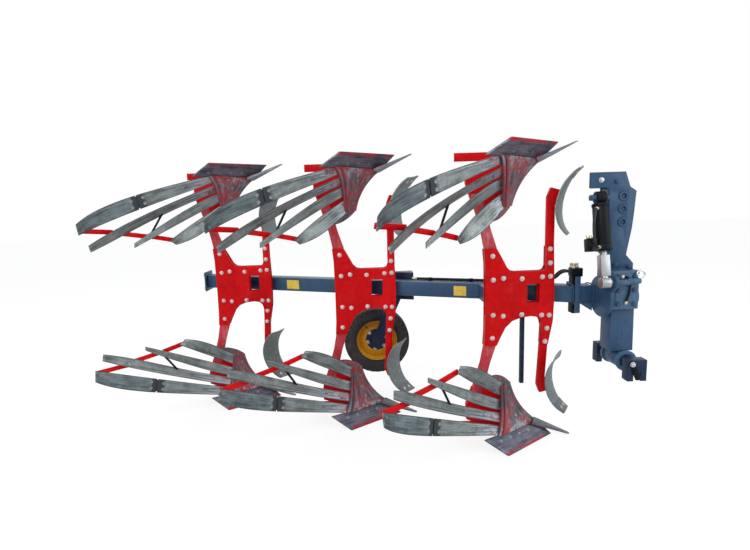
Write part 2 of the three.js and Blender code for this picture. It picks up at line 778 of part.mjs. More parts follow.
function rim() {
  const half = rimWide / 2;
  const bore = axleRadius + axlePlay;
  const inner = rimRadius - rimThick;
  const web = rimThick / 2;
  return turned(closed([
    [bore, -wheelHubHalf], [wheelHubRadius, -wheelHubHalf], [wheelHubRadius, -web], [inner, -web],
    [inner, -half], [rimRadius, -half], [rimRadius, half], [inner, half], [inner, web],
    [wheelHubRadius, web], [wheelHubRadius, wheelHubHalf], [bore, wheelHubHalf],
  ]), fine, wheelCentre);
}

// The tyre's section: shares of its height above the rim and of its half width
const tyreShares = [
  [0, -0.78], [0.4, -1], [0.8, -0.93], [1, -0.6], [1, 0.6], [0.8, 0.93], [0.4, 1], [0, 0.78],
];

function tyre() {
  const bead = rimRadius + gap;
  return turned(closed(tyreShares.map(([up, side]) => [
    bead + up * (tyreRadius - bead), (side * tyreWide) / 2])), fine, wheelCentre);
}

// The parking stand slides in a socket between the front plates and the beam
const standSidePlace = (farFace + beamNearAt(standAhead)) / 2;

function squareBar(half, low, high) {
  return block([standAhead - half, standAhead + half],
    [standSidePlace - half, standSidePlace + half], [low, high]);
}

function standSocket() {
  const half = standSide / 2 + socketPlay + socketWall;
  const outer = block([standAhead - half, standAhead + half], [farFace + gap, beamNearAt(standAhead) + half],
    [-socketBelow, socketAbove]);
  return outer
    .subtract(beamBody(gap))
    .subtract(squareBar(standSide / 2 + socketPlay, -socketBelow - overrun, socketAbove + overrun));
}

function standLeg() {
  return squareBar(standSide / 2, -standFoot, standTop);
}

const machine = new THREE.Group();

function add(name, body, paint, group) {
  const mesh = new THREE.Mesh(geometryOf(body), new THREE.MeshStandardMaterial(paints[paint]));
  mesh.name = name;
  group.add(mesh);
}

const frameGroup = new THREE.Group();
const headstockGroup = new THREE.Group();
machine.add(frameGroup, headstockGroup);

const bodyPieces = [
  ['leg', leg(), 'legRed'],
  ['frog', frog(), 'red'],
  ['share', share(), 'shareSteel'],
  ['mouldboard', board(), 'steel'],
  ['landside', landside(), 'red'],
];
unitNames.forEach((unit, i) => {
  const group = new THREE.Group();
  group.position.set(-i * bodySpacing, i * bodyOffset, 0);
  add(`${unit}_near_plate`, nearPlate(), 'red', group);
  add(`${unit}_far_plate`, farPlate(), 'red', group);
  add(`${unit}_skimmer_lower`, skimmer({ lean: skimmerLowerShift, lift: skimmerLowerLift }), 'red', group);
  add(`${unit}_skimmer_upper`, flipped(skimmer({ lean: 0, lift: 0 })), 'red', group);
  for (const [name, body, paint] of bodyPieces) {
    add(`${unit}_${name}_lower`, body, paint, group);
    add(`${unit}_${name}_upper`, flipped(body), paint, group);
  }
  frameGroup.add(group);
});

add('beam', beam(), 'blue', frameGroup);
add('beam_end_plate', endPlate(), 'blue', frameGroup);
add('neck_clamp', neckClamp(), 'black', frameGroup);
add('turnover_shaft', turnoverShaft(), 'blue', frameGroup);
add('stand_socket', standSocket(), 'blue', frameGroup);
add('stand_leg', standLeg(), 'navy', frameGroup);
add('wheel_bracket', wheelBracket(), 'navy', frameGroup);
add('wheel_arm', wheelArm(), 'navy', frameGroup);
add('wheel_rim', rim(), 'yellow', frameGroup);
add('wheel_tyre', tyre(), 'rubber', frameGroup);

add('headstock_tower', tower(), 'blue', headstockGroup);
add('turnover_housing', housing(), 'blue', headstockGroup);
add('headstock_leg', headstockLeg(), 'blue', headstockGroup);
add('cross_shaft', crossShaft(), 'blue', headstockGroup);
add('cylinder_barrel', barrel(), 'black', headstockGroup);
add('cylinder_rod', rod(), 'chrome', headstockGroup);
add('valve_block', valveBlock(), 'black', headstockGroup);

// The origin is below the middle of the whole machine, on the ground that the shares stand on
const box = new THREE.Box3().setFromObject(machine);
machine.position.set(-(box.min.x + box.max.x) / 2, -(box.min.y + box.max.y) / 2, -box.min.z);

export default machine;
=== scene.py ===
"""A mounted reversible plough: its looks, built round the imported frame."""

import json
import logging
import math
from collections.abc import Callable, Iterator, Sequence
from contextlib import contextmanager
from dataclasses import dataclass, field
from enum import Enum

import bpy
from mathutils import Matrix, Vector


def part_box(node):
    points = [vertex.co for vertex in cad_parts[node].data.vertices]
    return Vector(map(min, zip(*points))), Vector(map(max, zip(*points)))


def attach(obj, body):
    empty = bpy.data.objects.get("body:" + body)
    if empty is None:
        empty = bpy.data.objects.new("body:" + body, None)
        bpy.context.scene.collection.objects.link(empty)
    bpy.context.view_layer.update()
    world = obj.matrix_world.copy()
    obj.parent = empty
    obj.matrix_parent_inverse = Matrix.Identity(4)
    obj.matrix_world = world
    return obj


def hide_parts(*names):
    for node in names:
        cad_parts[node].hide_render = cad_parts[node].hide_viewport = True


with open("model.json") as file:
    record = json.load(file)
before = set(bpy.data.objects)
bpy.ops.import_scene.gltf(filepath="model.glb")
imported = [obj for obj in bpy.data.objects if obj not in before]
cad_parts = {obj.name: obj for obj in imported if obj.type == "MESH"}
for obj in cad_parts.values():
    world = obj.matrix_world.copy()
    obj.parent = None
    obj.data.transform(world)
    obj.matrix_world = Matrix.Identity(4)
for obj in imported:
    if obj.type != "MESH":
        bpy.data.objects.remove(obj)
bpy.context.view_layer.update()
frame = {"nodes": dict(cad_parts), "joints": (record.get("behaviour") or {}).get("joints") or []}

LOG = logging.getLogger("plough")
Pair = tuple[float, float]
Point = tuple[float, float, float]
Place = Vector | Point
Shares = Sequence[tuple[float, ...]]

# The drawing puts the beam's line and the front body at zero, and the turnover joint here.
AXIS_SIDE = -0.060
JOINT_ON_DRAWING = Vector((0.609, AXIS_SIDE, 0.0))
BODY_SPACING = 0.900
FURROW_WIDTH = 0.380

TO_NEAR, TO_FAR, UPWARD = Vector((0, -1, 0)), Vector((0, 1, 0)), Vector((0, 0, 1))
MERGED_WITHIN = 0.00003
SHADING_EXTRA = 8.0


def drawing_shift() -> Vector:
    """What takes a place on the drawing to the row frame.

    Returns:
        The shift in metres.
    """
    for joint in frame["joints"]:
        if joint["name"] == "turnover":
            return Vector(joint["pos_m"]) - JOINT_ON_DRAWING
    raise ValueError("the frame has no turnover joint")


SHIFT = drawing_shift()


class Worded(Enum):
    """A choice whose name is a part of its nodes' names."""

    @property
    def word(self) -> str:
        """The choice's part in a node's name."""
        return self.name.lower()


class Side(Worded):
    """The two sets of bodies, by the way that their Z runs."""

    LOWER = 1
    UPPER = -1


class Unit(Worded):
    """The three pairs of bodies, counted from the tractor."""

    FRONT = 0
    MIDDLE = 1
    REAR = 2


# Mesh work


def only(piece: bpy.types.Object) -> bpy.types.Object:
    """Leaves one object selected and active.

    Args:
        piece: The object to work on.

    Returns:
        The same object.
    """
    bpy.ops.object.select_all(action="DESELECT")
    piece.select_set(True)
    bpy.context.view_layer.objects.active = piece
    return piece


@contextmanager
def editing(piece: bpy.types.Object, kind: str = "FACE") -> Iterator[None]:
    """Opens a piece in edit mode and closes it again.

    Args:
        piece: The object to edit.
        kind: What is selected, VERT, EDGE or FACE.
    """
    only(piece)
    bpy.ops.object.mode_set(mode="EDIT")
    bpy.ops.mesh.select_mode(type=kind)
    yield
    bpy.ops.object.mode_set(mode="OBJECT")


def pick(piece: bpy.types.Object, wanted: Callable[[Vector, Vector], bool]) -> None:
    """Selects faces by their place and normal, in object mode.

    Args:
        piece: The object.
        wanted: Says of a face's middle and normal whether it is selected.
    """
    for part in (*piece.data.vertices, *piece.data.edges):
        part.select = False
    for face in piece.data.polygons:
        face.select = wanted(face.center, face.normal)


def added(operator: Callable[..., set[str]], **settings: object) -> bpy.types.Object:
    """Adds an object with one of Blender's own operators.

    Args:
        operator: The operator.
        settings: Its settings.

    Returns:
        The new object.
    """
    bpy.ops.object.select_all(action="DESELECT")
    operator(**settings)
    return bpy.context.object


def applied(piece: bpy.types.Object, kind: str, **settings: object) -> bpy.types.Object:
    """Adds a modifier and applies it.

    Args:
        piece: The object.
        kind: The modifier's type.
        settings: The modifier's settings.

    Returns:
        The same object.
    """
    modifier = piece.modifiers.new(kind.lower(), kind)
    for key, value in settings.items():
        setattr(modifier, key, value)
    only(piece)
    bpy.ops.object.modifier_apply(modifier=modifier.name)
    return piece


def merged(piece: bpy.types.Object, flat: float = 0.0) -> bpy.types.Object:
    """Merges doubles and turns the faces outwards.

    Args:
        piece: The object.
        flat: Where above zero, faces within this many degrees are joined.

    Returns:
        The same object.
    """
    with editing(piece):
        bpy.ops.mesh.select_all(action="SELECT")
        bpy.ops.mesh.remove_doubles(threshold=MERGED_WITHIN)
        if flat:
            bpy.ops.mesh.dissolve_limited(angle_limit=math.radians(flat))
        bpy.ops.mesh.normals_make_consistent(inside=False)
    return piece


def softened(piece: bpy.types.Object, bevel: float, segments: int = 2,
             angle: float = 32.0) -> bpy.types.Object:
    """Rounds a piece's sharp edges and shades it smooth between them.

    Args:
        piece: The object.
        bevel: The bevel's width in metres, or zero for none.
        segments: The bevel's segments.
        angle: The sharpest angle that is left alone, in degrees.

    Returns:
        The same object.
    """
    if bevel:
        applied(piece, "BEVEL", width=bevel, segments=segments, limit_method="ANGLE",
                angle_limit=math.radians(angle))
    only(piece)
    bpy.ops.object.shade_smooth_by_angle(angle=math.radians(angle + SHADING_EXTRA))
    return piece


def settled(piece: bpy.types.Object, name: str) -> bpy.types.Object:
    """Names a piece and puts its place, turn and size into its mesh.

    Args:
        piece: The object.
        name: Its name.

    Returns:
        The same object.
    """
    only(piece)
    piece.name = piece.data.name = name
    bpy.ops.object.transform_apply(location=True, rotation=True, scale=True)
    return piece


def joined(pieces: Sequence[bpy.types.Object], name: str) -> bpy.types.Object:
    """Joins objects into one.

    Args:
        pieces: The objects.
        name: The name of the whole.

    Returns:
        The whole.
    """
    only(pieces[0])
    for piece in pieces[1:]:
        piece.select_set(True)
    if len(pieces) > 1:
        bpy.ops.object.join()
    whole = bpy.context.view_layer.objects.active
    whole.name = whole.data.name = name
    return whole


def copied(piece: bpy.types.Object, name: str, move: Matrix) -> bpy.types.Object:
    """A copy of a piece with its own mesh, moved or mirrored.

    Args:
        piece: The piece to copy.
        name: The copy's name.
        move: Where the copy goes.

    Returns:
        The copy.
    """
    mesh = piece.data.copy()
    mesh.transform(move)
    copy = bpy.data.objects.new(name, mesh)
    mesh.name = name
    bpy.context.scene.collection.objects.link(copy)
    if move.determinant() < 0:
        merged(copy)
    return copy


def dressed(node: str, bevel: float, segments: int = 2) -> bpy.types.Object:
    """A merged copy of a CAD node with rounded edges, which replaces it.

    Args:
        node: The CAD node.
        bevel: The bevel's width in metres.
        segments: The bevel's segments.

    Returns:
        The new piece.
    """
    mesh = frame["nodes"][node].data.copy()
    mesh.materials.clear()
    piece = bpy.data.objects.new(f"{node}.dressed", mesh)
    bpy.context.scene.collection.objects.link(piece)
    only(piece)
    bpy.ops.mesh.customdata_custom_splitnormals_clear()
    merged(piece, 1.0)
    softened(piece, bevel, segments)
    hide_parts(node)
    return piece


def cut_off(piece: bpy.types.Object, place: Vector, out: Vector) -> bpy.types.Object:
    """Cuts away what lies beyond a plane, and closes the cut.

    Args:
        piece: The piece.
        place: A place on the plane.
        out: The way out of the plane, towards what goes.

    Returns:
        The same piece.
    """
    with editing(piece):
        bpy.ops.mesh.select_all(action="SELECT")
        bpy.ops.mesh.bisect(plane_co=tuple(place), plane_no=tuple(out), use_fill=True,
                            clear_outer=True)
    return softened(piece, 0.0, angle=30.0)


def box(name: str, low: Place, high: Place, bevel: float = 0.002) -> bpy.types.Object:
    """A block with rounded edges between two corners.

    Args:
        name: The piece's name.
        low: The lowest corner.
        high: The highest corner.
        bevel: The bevel's width.

    Returns:
        The piece.
    """
    middle = [(a + b) / 2 for a, b in zip(low, high)]
    piece = added(bpy.ops.mesh.primitive_cube_add, size=1, location=middle)
    piece.scale = [b - a for a, b in zip(low, high)]
    return softened(settled(piece, name), bevel)


def rod(name: str, start: Place, end: Place, radius: float, sides: int = 28,
        bevel: float = 0.0015) -> bpy.types.Object:
    """A round or faceted bar between two points.

    Args:
        name: The piece's name.
        start: One end.
        end: The other end.
        radius: Its radius.
        sides: Its sides.
        bevel: The bevel's width at its ends.

    Returns:
        The piece.
    """
    line = Vector(end) - Vector(start)
    piece = added(bpy.ops.mesh.primitive_cylinder_add, vertices=sides, radius=radius,
                  depth=line.length, location=Vector(start) + line / 2,
                  rotation=line.to_track_quat("Z", "Y").to_euler())
    return softened(settled(piece, name), bevel, angle=40.0 if sides > 10 else 50.0)


def prism(name: str, outline: Sequence[Place], push: Place,
          bevel: float = 0.002) -> bpy.types.Object:
    """A plate whose outline is pushed out to its thickness.

    Args:
        name: The piece's name.
        outline: The corners of one face, in order.
        push: How far and which way the face is extruded.
        bevel: The bevel's width.

    Returns:
        The piece.
    """
    piece = added(bpy.ops.mesh.primitive_circle_add, vertices=len(outline), radius=1,
                  fill_type="NGON")
    for vertex, corner in zip(piece.data.vertices, outline):
        vertex.co = corner
    with editing(piece):
        bpy.ops.mesh.select_all(action="SELECT")
        bpy.ops.mesh.extrude_region_move(TRANSFORM_OT_translate={"value": push})
        bpy.ops.mesh.select_all(action="SELECT")
        bpy.ops.mesh.normals_make_consistent(inside=False)
    return softened(settled(piece, name), bevel)


def spun(name: str, profile: Sequence[Pair], centre: Vector, steps: int = 64,
         bevel: float = 0.0) -> bpy.types.Object:
    """A closed section spun about an axis along Y.

    Args:
        name: The piece's name.
        profile: The section's corners, as radius and place along the axis.
        centre: A point on the axis.
        steps: The steps of the spin.
        bevel: The bevel's width.

    Returns:
        The piece.
    """
    piece = added(bpy.ops.mesh.primitive_circle_add, vertices=len(profile), radius=1,
                  fill_type="NOTHING")
    for vertex, (radius, along) in zip(piece.data.vertices, profile):
        vertex.co = centre + Vector((radius, along, 0))
    with editing(piece, "VERT"):
        bpy.ops.mesh.select_all(action="SELECT")
        bpy.ops.mesh.spin(steps=steps, angle=math.tau, center=centre, axis=(0, 1, 0))
    merged(settled(piece, name))
    return softened(piece, bevel, angle=30.0)


def hose(name: str, points: Sequence[Vector], radius: float) -> bpy.types.Object:
    """A smooth tube through some points.

    Args:
        name: The piece's name.
        points: The points that it passes.
        radius: Its radius.

    Returns:
        The piece.
    """
    curve = bpy.data.curves.new(name, "CURVE")
    curve.dimensions = "3D"
    curve.bevel_depth = radius
    curve.bevel_resolution = 4
    curve.resolution_u = 10
    curve.use_fill_caps = True
    spline = curve.splines.new("BEZIER")
    spline.bezier_points.add(len(points) - 1)
    for knot, point in zip(spline.bezier_points, points):
        knot.co = point
        knot.handle_left_type = knot.handle_right_type = "AUTO"
    piece = bpy.data.objects.new(name, curve)
    bpy.context.scene.collection.objects.link(piece)
    only(piece)
    bpy.ops.object.convert(target="MESH")
    return softened(merged(bpy.context.object), 0.0, angle=42.0)


def cubic(shares: Shares, scale: Point, along: float) -> Vector:
    """A place on a cubic curve whose four points are shares of a size.

    Args:
        shares: The four points.
        scale: The size along each axis.
        along: How far along the curve, from 0 to 1.

    Returns:
        The place.
    """
    rest = 1 - along
    weights = (rest ** 3, 3 * rest ** 2 * along, 3 * rest * along ** 2, along ** 3)
    total = Vector((0.0, 0.0, 0.0))
    for weight, share in zip(weights, shares):
        total += weight * Vector([a * b for a, b in zip(share, scale)])
    return total


@dataclass(frozen=True)
class Curved:
    """A strip of plate between two curved edges."""

    outer: Callable[[float], Vector]
    inner: Callable[[float], Vector]
    first: float = 0.0
    last: float = 1.0

    def frame_at(self, along: float, across: float) -> tuple[Vector, Vector, Vector]:
        """The strip's place and directions at a point.

        Args:
            along: How far along it, from 0 to 1.
            across: How far from its outer edge to its inner one.

        Returns:
            The place, the way across and the way behind its face.
        """
        step = 0.01
        low, high = max(along - step, 0.0), min(along + step, 1.0)
        ahead = self.outer(high) + self.inner(high) - self.outer(low) - self.inner(low)
        over = (self.inner(along) - self.outer(along)).normalized()
        place = self.outer(along).lerp(self.inner(along), across)
        return place, over, ahead.normalized().cross(over).normalized()

    def build(self, name: str, front: float, back: float, crown: float = 0.0, runs: int = 30,
              bevel: float = 0.0018) -> bpy.types.Object:
        """Makes the strip from a grid, with its own flow map.

        Args:
            name: The piece's name.
            front: The depth of its face behind the edges' surface.
            back: The depth of its back.
            crown: How far its middle stands proud.
            runs: The divisions along it.
            bevel: The bevel's width.

        Returns:
            The piece.
        """
        piece = added(bpy.ops.mesh.primitive_grid_add, x_subdivisions=runs, y_subdivisions=6,
                      size=2)
        mesh = piece.data
        flow = mesh.uv_layers[0] if mesh.uv_layers else mesh.uv_layers.new(name="flow")
        flow.name = "flow"
        shares = [((v.co.x + 1) / 2, (v.co.y + 1) / 2) for v in mesh.vertices]
        for loop in mesh.loops:
            flow.data[loop.index].uv = shares[loop.vertex_index]
        for vertex, (along, across) in zip(mesh.vertices, shares):
            reach = self.first + along * (self.last - self.first)
            place, _, behind = self.frame_at(reach, across)
            vertex.co = place + behind * (front - crown * 4 * across * (1 - across))
        middle = mesh.polygons[len(mesh.polygons) // 2]
        mesh.update()
        _, _, behind = self.frame_at((self.first + self.last) / 2, 0.5)
        if middle.normal.dot(behind) > 0:
            mesh.flip_normals()
        applied(piece, "SOLIDIFY", thickness=back - front, offset=-1.0)
        return softened(settled(piece, name), bevel, angle=40.0)


# Finishes


class Signal:
    """A shader socket that can be added, scaled and mixed as a number."""

    def __init__(self, tree: "Tree", socket: bpy.types.NodeSocket) -> None:
        """Keeps the tree and the socket."""
        self.tree, self.socket = tree, socket

    def __add__(self, other: "Signal | float") -> "Signal":
        """The sum."""
        return self.tree.sum("ADD", self, other)

    __radd__ = __add__

    def __mul__(self, other: "Signal | float") -> "Signal":
        """The product."""
        return self.tree.sum("MULTIPLY", self, other)

    __rmul__ = __mul__

    def __sub__(self, other: "Signal | float") -> "Signal":
        """The difference."""
        return self.tree.sum("SUBTRACT", self, other)

    def __rsub__(self, other: "Signal | float") -> "Signal":
        """The difference the other way round."""
        return self.tree.sum("SUBTRACT", other, self)

    def __pow__(self, other: "Signal | float") -> "Signal":
        """The power."""
        return self.tree.sum("POWER", self, other)

    def step(self, low: float, high: float) -> "Signal":
        """A smooth step from 0 to 1 between two values."""
        return self.tree.node("ShaderNodeMapRange", {"interpolation_type": "SMOOTHSTEP"},
                              Value=self, **{"From Min": low, "From Max": high})


Fed = Signal | float | Sequence[float]


class Tree:
    """A material's nodes, written as expressions."""

    def __init__(self, name: str) -> None:
        """Makes the material and its shader.

        Args:
            name: The material's name.
        """
        self.material = bpy.data.materials.new(name)
        self.material.use_nodes = True
        self.nodes = self.material.node_tree.nodes
        self.shader = self.nodes["Principled BSDF"]
        self.place = self.node("ShaderNodeTexCoord", {}, "Object")

    def node(self, kind: str, settings: dict[str, object], output: str | int = 0,
             **feeds: Fed) -> Signal:
        """Adds a node, sets it and feeds it.

        Args:
            kind: The node's type.
            settings: Its settings.
            output: The socket that is wanted.
            feeds: The values or signals of its sockets.

        Returns:
            The wanted output.
        """
        made = self.nodes.new(kind)
        for key, value in settings.items():
            setattr(made, key, value)
        for key, value in feeds.items():
            self.feed(made, key, value)
        return Signal(self, made.outputs[output])

    def feed(self, made: bpy.types.Node, key: str, value: Fed) -> None:
        """Links or sets one socket of a node.

        Args:
            made: The node.
            key: The socket's name, or _ and its number.
            value: A signal, a number or a colour.
        """
        numbered = key.startswith("_")
        socket = made.inputs[int(key[1:]) if numbered else key]
        if isinstance(value, Signal):
            self.material.node_tree.links.new(value.socket, socket)
        elif isinstance(value, (int, float)):
            socket.default_value = value
        else:
            socket.default_value = (*value, 1.0) if socket.type == "RGBA" else value

    def sum(self, operation: str, first: Fed, second: Fed) -> Signal:
        """One Math node."""
        return self.node("ShaderNodeMath", {"operation": operation}, _0=first, _1=second)

    def blend(self, share: Fed, first: Fed, second: Fed) -> Signal:
        """The mix of two colours."""
        return self.node("ShaderNodeMix", {"data_type": "RGBA", "clamp_factor": True}, 2,
                         _0=share, _6=first, _7=second)

    def noise(self, scale: float, detail: float = 3.0, rough: float = 0.55,
              where: Signal | None = None) -> Signal:
        """Noise over the piece.

        Args:
            scale: Its scale.
            detail: Its octaves.
            rough: Their roughness.
            where: The coordinates, or the piece's own.

        Returns:
            The noise, from 0 to 1.
        """
        return self.node("ShaderNodeTexNoise", {}, "Fac", Vector=where or self.place, Scale=scale,
                         Detail=detail, Roughness=rough)

    def stretched(self, scale: Point, where: Signal | None = None,
                  turn: Point = (0, 0, 0)) -> Signal:
        """Coordinates scaled along each axis and turned."""
        return self.node("ShaderNodeMapping", {}, Vector=where or self.place, Scale=scale,
                         Rotation=turn)

    def facing_up(self) -> Signal:
        """How far the surface faces up, from -1 to 1."""
        normal = self.node("ShaderNodeNewGeometry", {}, "Normal")
        return self.node("ShaderNodeSeparateXYZ", {}, "Z", Vector=normal)

    def bump(self, height: Signal, strength: float, distance: float = 0.001) -> None:
        """Feeds a height to the shader's normal."""
        normal = self.node("ShaderNodeBump", {}, Height=height, Strength=strength,
                           Distance=distance)
        self.feed(self.shader, "Normal", normal)

    def dress(self, **feeds: Fed) -> bpy.types.Material:
        """Feeds the shader and gives back the material.

        Args:
            feeds: The shader's sockets, with _ for a space.

        Returns:
            The material.
        """
        for key, value in feeds.items():
            self.feed(self.shader, key.replace("_", " "), value)
        return self.material


@dataclass(frozen=True)
class Paint:
    """Sprayed paint with field dust, rubbed places and small chips. On some finishes the dust layer also
    carries painted light: lighter tops or a pink sheen.
    """

    name: str
    colour: Point
    gloss: float = 0.34
    # dust, soil and cling set the dust layer's share, colour and spread off upward faces; on the blue
    # finishes and the legs this layer is also painted light.
    dust: float = 0.25
    wear: float = 0.35
    under: Point = (0.30, 0.29, 0.28)
    soil: Point = (0.46, 0.38, 0.30)
    sheen: float = 0.28
    cling: float = 0.12

    def make(self) -> bpy.types.Material:
        """Makes the material.

        Returns:
            The material.
        """
        tree = Tree(self.name)
        broad, fine = tree.noise(2.6, 4), tree.noise(38, 5, 0.6)
        deep = [0.72 * part for part in self.colour]
        light = [min(1.0, 1.14 * part + 0.004) for part in self.colour]
        colour = tree.blend((broad * 0.6 + fine * 0.4).step(0.3, 0.72), deep, light)
        faded = [0.94 * part + 0.06 * sum(self.colour) / 3 + 0.003 for part in self.colour]
        colour = tree.blend(tree.noise(7.0, 5, 0.62).step(0.5, 0.75) * 0.5, colour, faded)
        streaks = tree.noise(1.0, 6, 0.6, tree.stretched((70, 70, 5)))
        # The dust layer gathers on upward faces, or all over as far as cling says; where its colour is
        # pale blue-grey or pink it is a painted highlight as well as dust.
        upward_dust_and_light = tree.facing_up().step(0.15, 0.95) * (1 - self.cling) + self.cling
        dust_and_painted_light = (tree.noise(11, 6, 0.65) * 0.6 + streaks * 0.4).step(0.46, 0.74)
        dust_and_painted_light = dust_and_painted_light * upward_dust_and_light * self.dust
        colour = tree.blend(dust_and_painted_light, colour, self.soil)
        chips = tree.noise(125, 4, 0.7).step(0.665, 0.7) * tree.noise(9, 2).step(0.45, 0.62)
        rubbed = tree.noise(1.0, 5, 0.7, tree.stretched((22, 160, 160))).step(0.69, 0.74)
        bare = (chips + rubbed * 0.5) * self.wear
        colour = tree.blend(bare, colour, self.under)
        rough = self.gloss + 0.22 * dust_and_painted_light + 0.12 * fine + 0.15 * bare
        peel = tree.noise(520, 2) * 0.35 + broad * 0.3 - bare * 1.2
        tree.bump(peel, 0.12)
        return tree.dress(Base_Color=colour, Roughness=rough, Metallic=bare * 0.5,
                          Coat_Weight=0.2 * self.sheen * (1 - dust_and_painted_light), Coat_Roughness=0.15,
                          Specular_IOR_Level=self.sheen)


@dataclass(frozen=True)
class Scoured:
    """Plate steel that soil has polished along the flow map, with remains of paint and a painted
    highlight near the root.
    """

    name: str
    colour: Point = (0.205, 0.235, 0.235)
    dark: Point = (0.045, 0.055, 0.062)
    paint: Point = (0.34, 0.022, 0.030)
    # pale is a painted highlight colour laid near the root; deep darkens patches within it.
    pale: Point = (0.50, 0.58, 0.66)
    deep: Point = (0.02, 0.035, 0.075)
    # root sets both the red paint left near the root and the strength of the painted highlight there.
    root: float = 0.55
    cover: float = 0.0
    rim: float = 0.0
    before: float = 0.0
    after: float = 0.0
    metal: float = 0.72

    def make(self) -> bpy.types.Material:
        """Makes the material.

        Returns:
            The material.
        """
        tree = Tree(self.name)
        flow = tree.node("ShaderNodeUVMap", {"uv_map": "flow"})
        across = tree.node("ShaderNodeSeparateXYZ", {}, "Y", Vector=flow)
        along = tree.node("ShaderNodeSeparateXYZ", {}, "X", Vector=flow)
        scratches = tree.noise(1.0, 6, 0.6, tree.stretched((3.5, 60, 1), flow))
        bands = tree.noise(1.0, 3, 0.5, tree.stretched((2.2, 6, 1), flow))
        cloud, grit = tree.noise(9, 5, 0.6), tree.noise(34, 6, 0.66)
        lit = [1.6 * part + 0.03 for part in self.colour]
        dim = [0.6 * part for part in self.colour]
        colour = tree.blend((bands * 0.55 + cloud * 0.45).step(0.36, 0.64), dim, lit)
        # Near the root the steel gets a pale bluish painted highlight, mottled with dark navy patches.
        root_highlight_zone = (1 - along).step(0.5, 0.85) * min(1.0, 1.6 * self.root)
        colour = tree.blend(root_highlight_zone * bands.step(0.4, 0.55), colour, self.pale)
        mottled = (bands * 0.5 + cloud * 0.5).step(0.53, 0.58)
        colour = tree.blend(root_highlight_zone * mottled, colour, self.deep)
        colour = tree.blend(scratches.step(0.45, 0.72) * 0.6, colour, self.dark)
        edge = (across - 0.5) * (across - 0.5) * 4
        dirt = edge.step(0.66, 0.98) * 0.75 + (grit * 0.6 + bands * 0.4).step(0.53, 0.66) * 0.5
        dirt = dirt + along.step(0.86, 0.92) * self.before
        dirt = dirt + (1 - along).step(0.925, 0.955) * self.after
        colour = tree.blend(dirt, colour, self.dark)
        where = self.cover + self.root * (1 - along).step(0.80, 1.0)
        where = where + self.rim * (1 - across).step(0.76, 0.9)
        patches = (cloud * 0.45 + grit * 0.35 + scratches * 0.2).step(0.44, 0.54)
        painted = where * patches
        colour = tree.blend(painted, colour, self.paint)
        tree.bump(scratches * 0.5 + grit * 0.5 + painted * 0.6, 0.14)
        return tree.dress(Base_Color=colour, Roughness=0.33 + 0.16 * scratches + 0.16 * dirt,
                          Metallic=self.metal * (1 - painted) * (1 - 0.5 * dirt),
                          Specular_IOR_Level=0.35)


@dataclass(frozen=True)
class Forged:
    """Dark hardened steel with ground-in soil, rust and rubbed highlights."""

    name: str
    colour: Point = (0.15, 0.165, 0.19)
    bright: Point = (0.40, 0.42, 0.44)
    rust: Point = (0.27, 0.12, 0.085)
    rusty: float = 0.5
    turn: Point = (0.0, 0.0, 0.0)

    def make(self) -> bpy.types.Material:
        """Makes the material.

        Returns:
            The material.
        """
        tree = Tree(self.name)
        lines = tree.noise(1.0, 6, 0.6, tree.stretched((9, 80, 80), turn=self.turn))
        cloud, spots = tree.noise(7, 5, 0.6), tree.noise(48, 5, 0.65)
        lit = [1.7 * part for part in self.colour]
        colour = tree.blend(cloud.step(0.35, 0.7) * 0.6, self.colour, lit)
        colour = tree.blend(lines.step(0.5, 0.78) * 0.6, colour, self.bright)
        rust = (spots * 0.5 + cloud * 0.5).step(0.5, 0.62) * self.rusty
        colour = tree.blend(rust, colour, self.rust)
        tree.bump(lines * 0.4 + spots * 0.6, 0.16)
        return tree.dress(Base_Color=colour, Roughness=0.38 + 0.2 * cloud + 0.22 * rust,
                          Metallic=0.7 - 0.55 * rust)


@dataclass(frozen=True)
class Plated:
    """Zinc or chrome over steel, with a faint bloom."""

    name: str
    colour: Point = (0.62, 0.63, 0.63)
    bloom: Point = (0.40, 0.36, 0.28)
    gloss: float = 0.24
    bloomed: float = 0.45

    def make(self) -> bpy.types.Material:
        """Makes the material.

        Returns:
            The material.
        """
        tree = Tree(self.name)
        cloud, spots = tree.noise(30, 4, 0.6), tree.noise(160, 4, 0.7)
        bloom = (cloud * 0.6 + spots * 0.4).step(0.5, 0.68) * self.bloomed
        colour = tree.blend(bloom, self.colour, self.bloom)
        tree.bump(spots, 0.05)
        return tree.dress(Base_Color=colour, Metallic=0.92 - 0.4 * bloom,
                          Roughness=self.gloss + 0.1 * cloud + 0.3 * bloom)


@dataclass(frozen=True)
class Rubber:
    """Black rubber with a dry bloom and soil in its low places."""

    name: str
    colour: Point = (0.022, 0.023, 0.025)
    soil: Point = (0.20, 0.165, 0.13)
    dust: float = 0.35

    def make(self) -> bpy.types.Material:
        """Makes the material.

        Returns:
            The material.
        """
        tree = Tree(self.name)
        cloud, grain = tree.noise(8, 5, 0.62), tree.noise(260, 3)
        lit = [2.3 * part for part in self.colour]
        colour = tree.blend(cloud.step(0.35, 0.7), self.colour, lit)
        dust = (cloud * 0.5 + tree.noise(40, 4) * 0.5).step(0.46, 0.66) * self.dust
        colour = tree.blend(dust, colour, self.soil)
        tree.bump(grain * 0.5 + cloud * 0.5, 0.14)
        return tree.dress(Base_Color=colour, Roughness=0.62 + 0.2 * cloud)


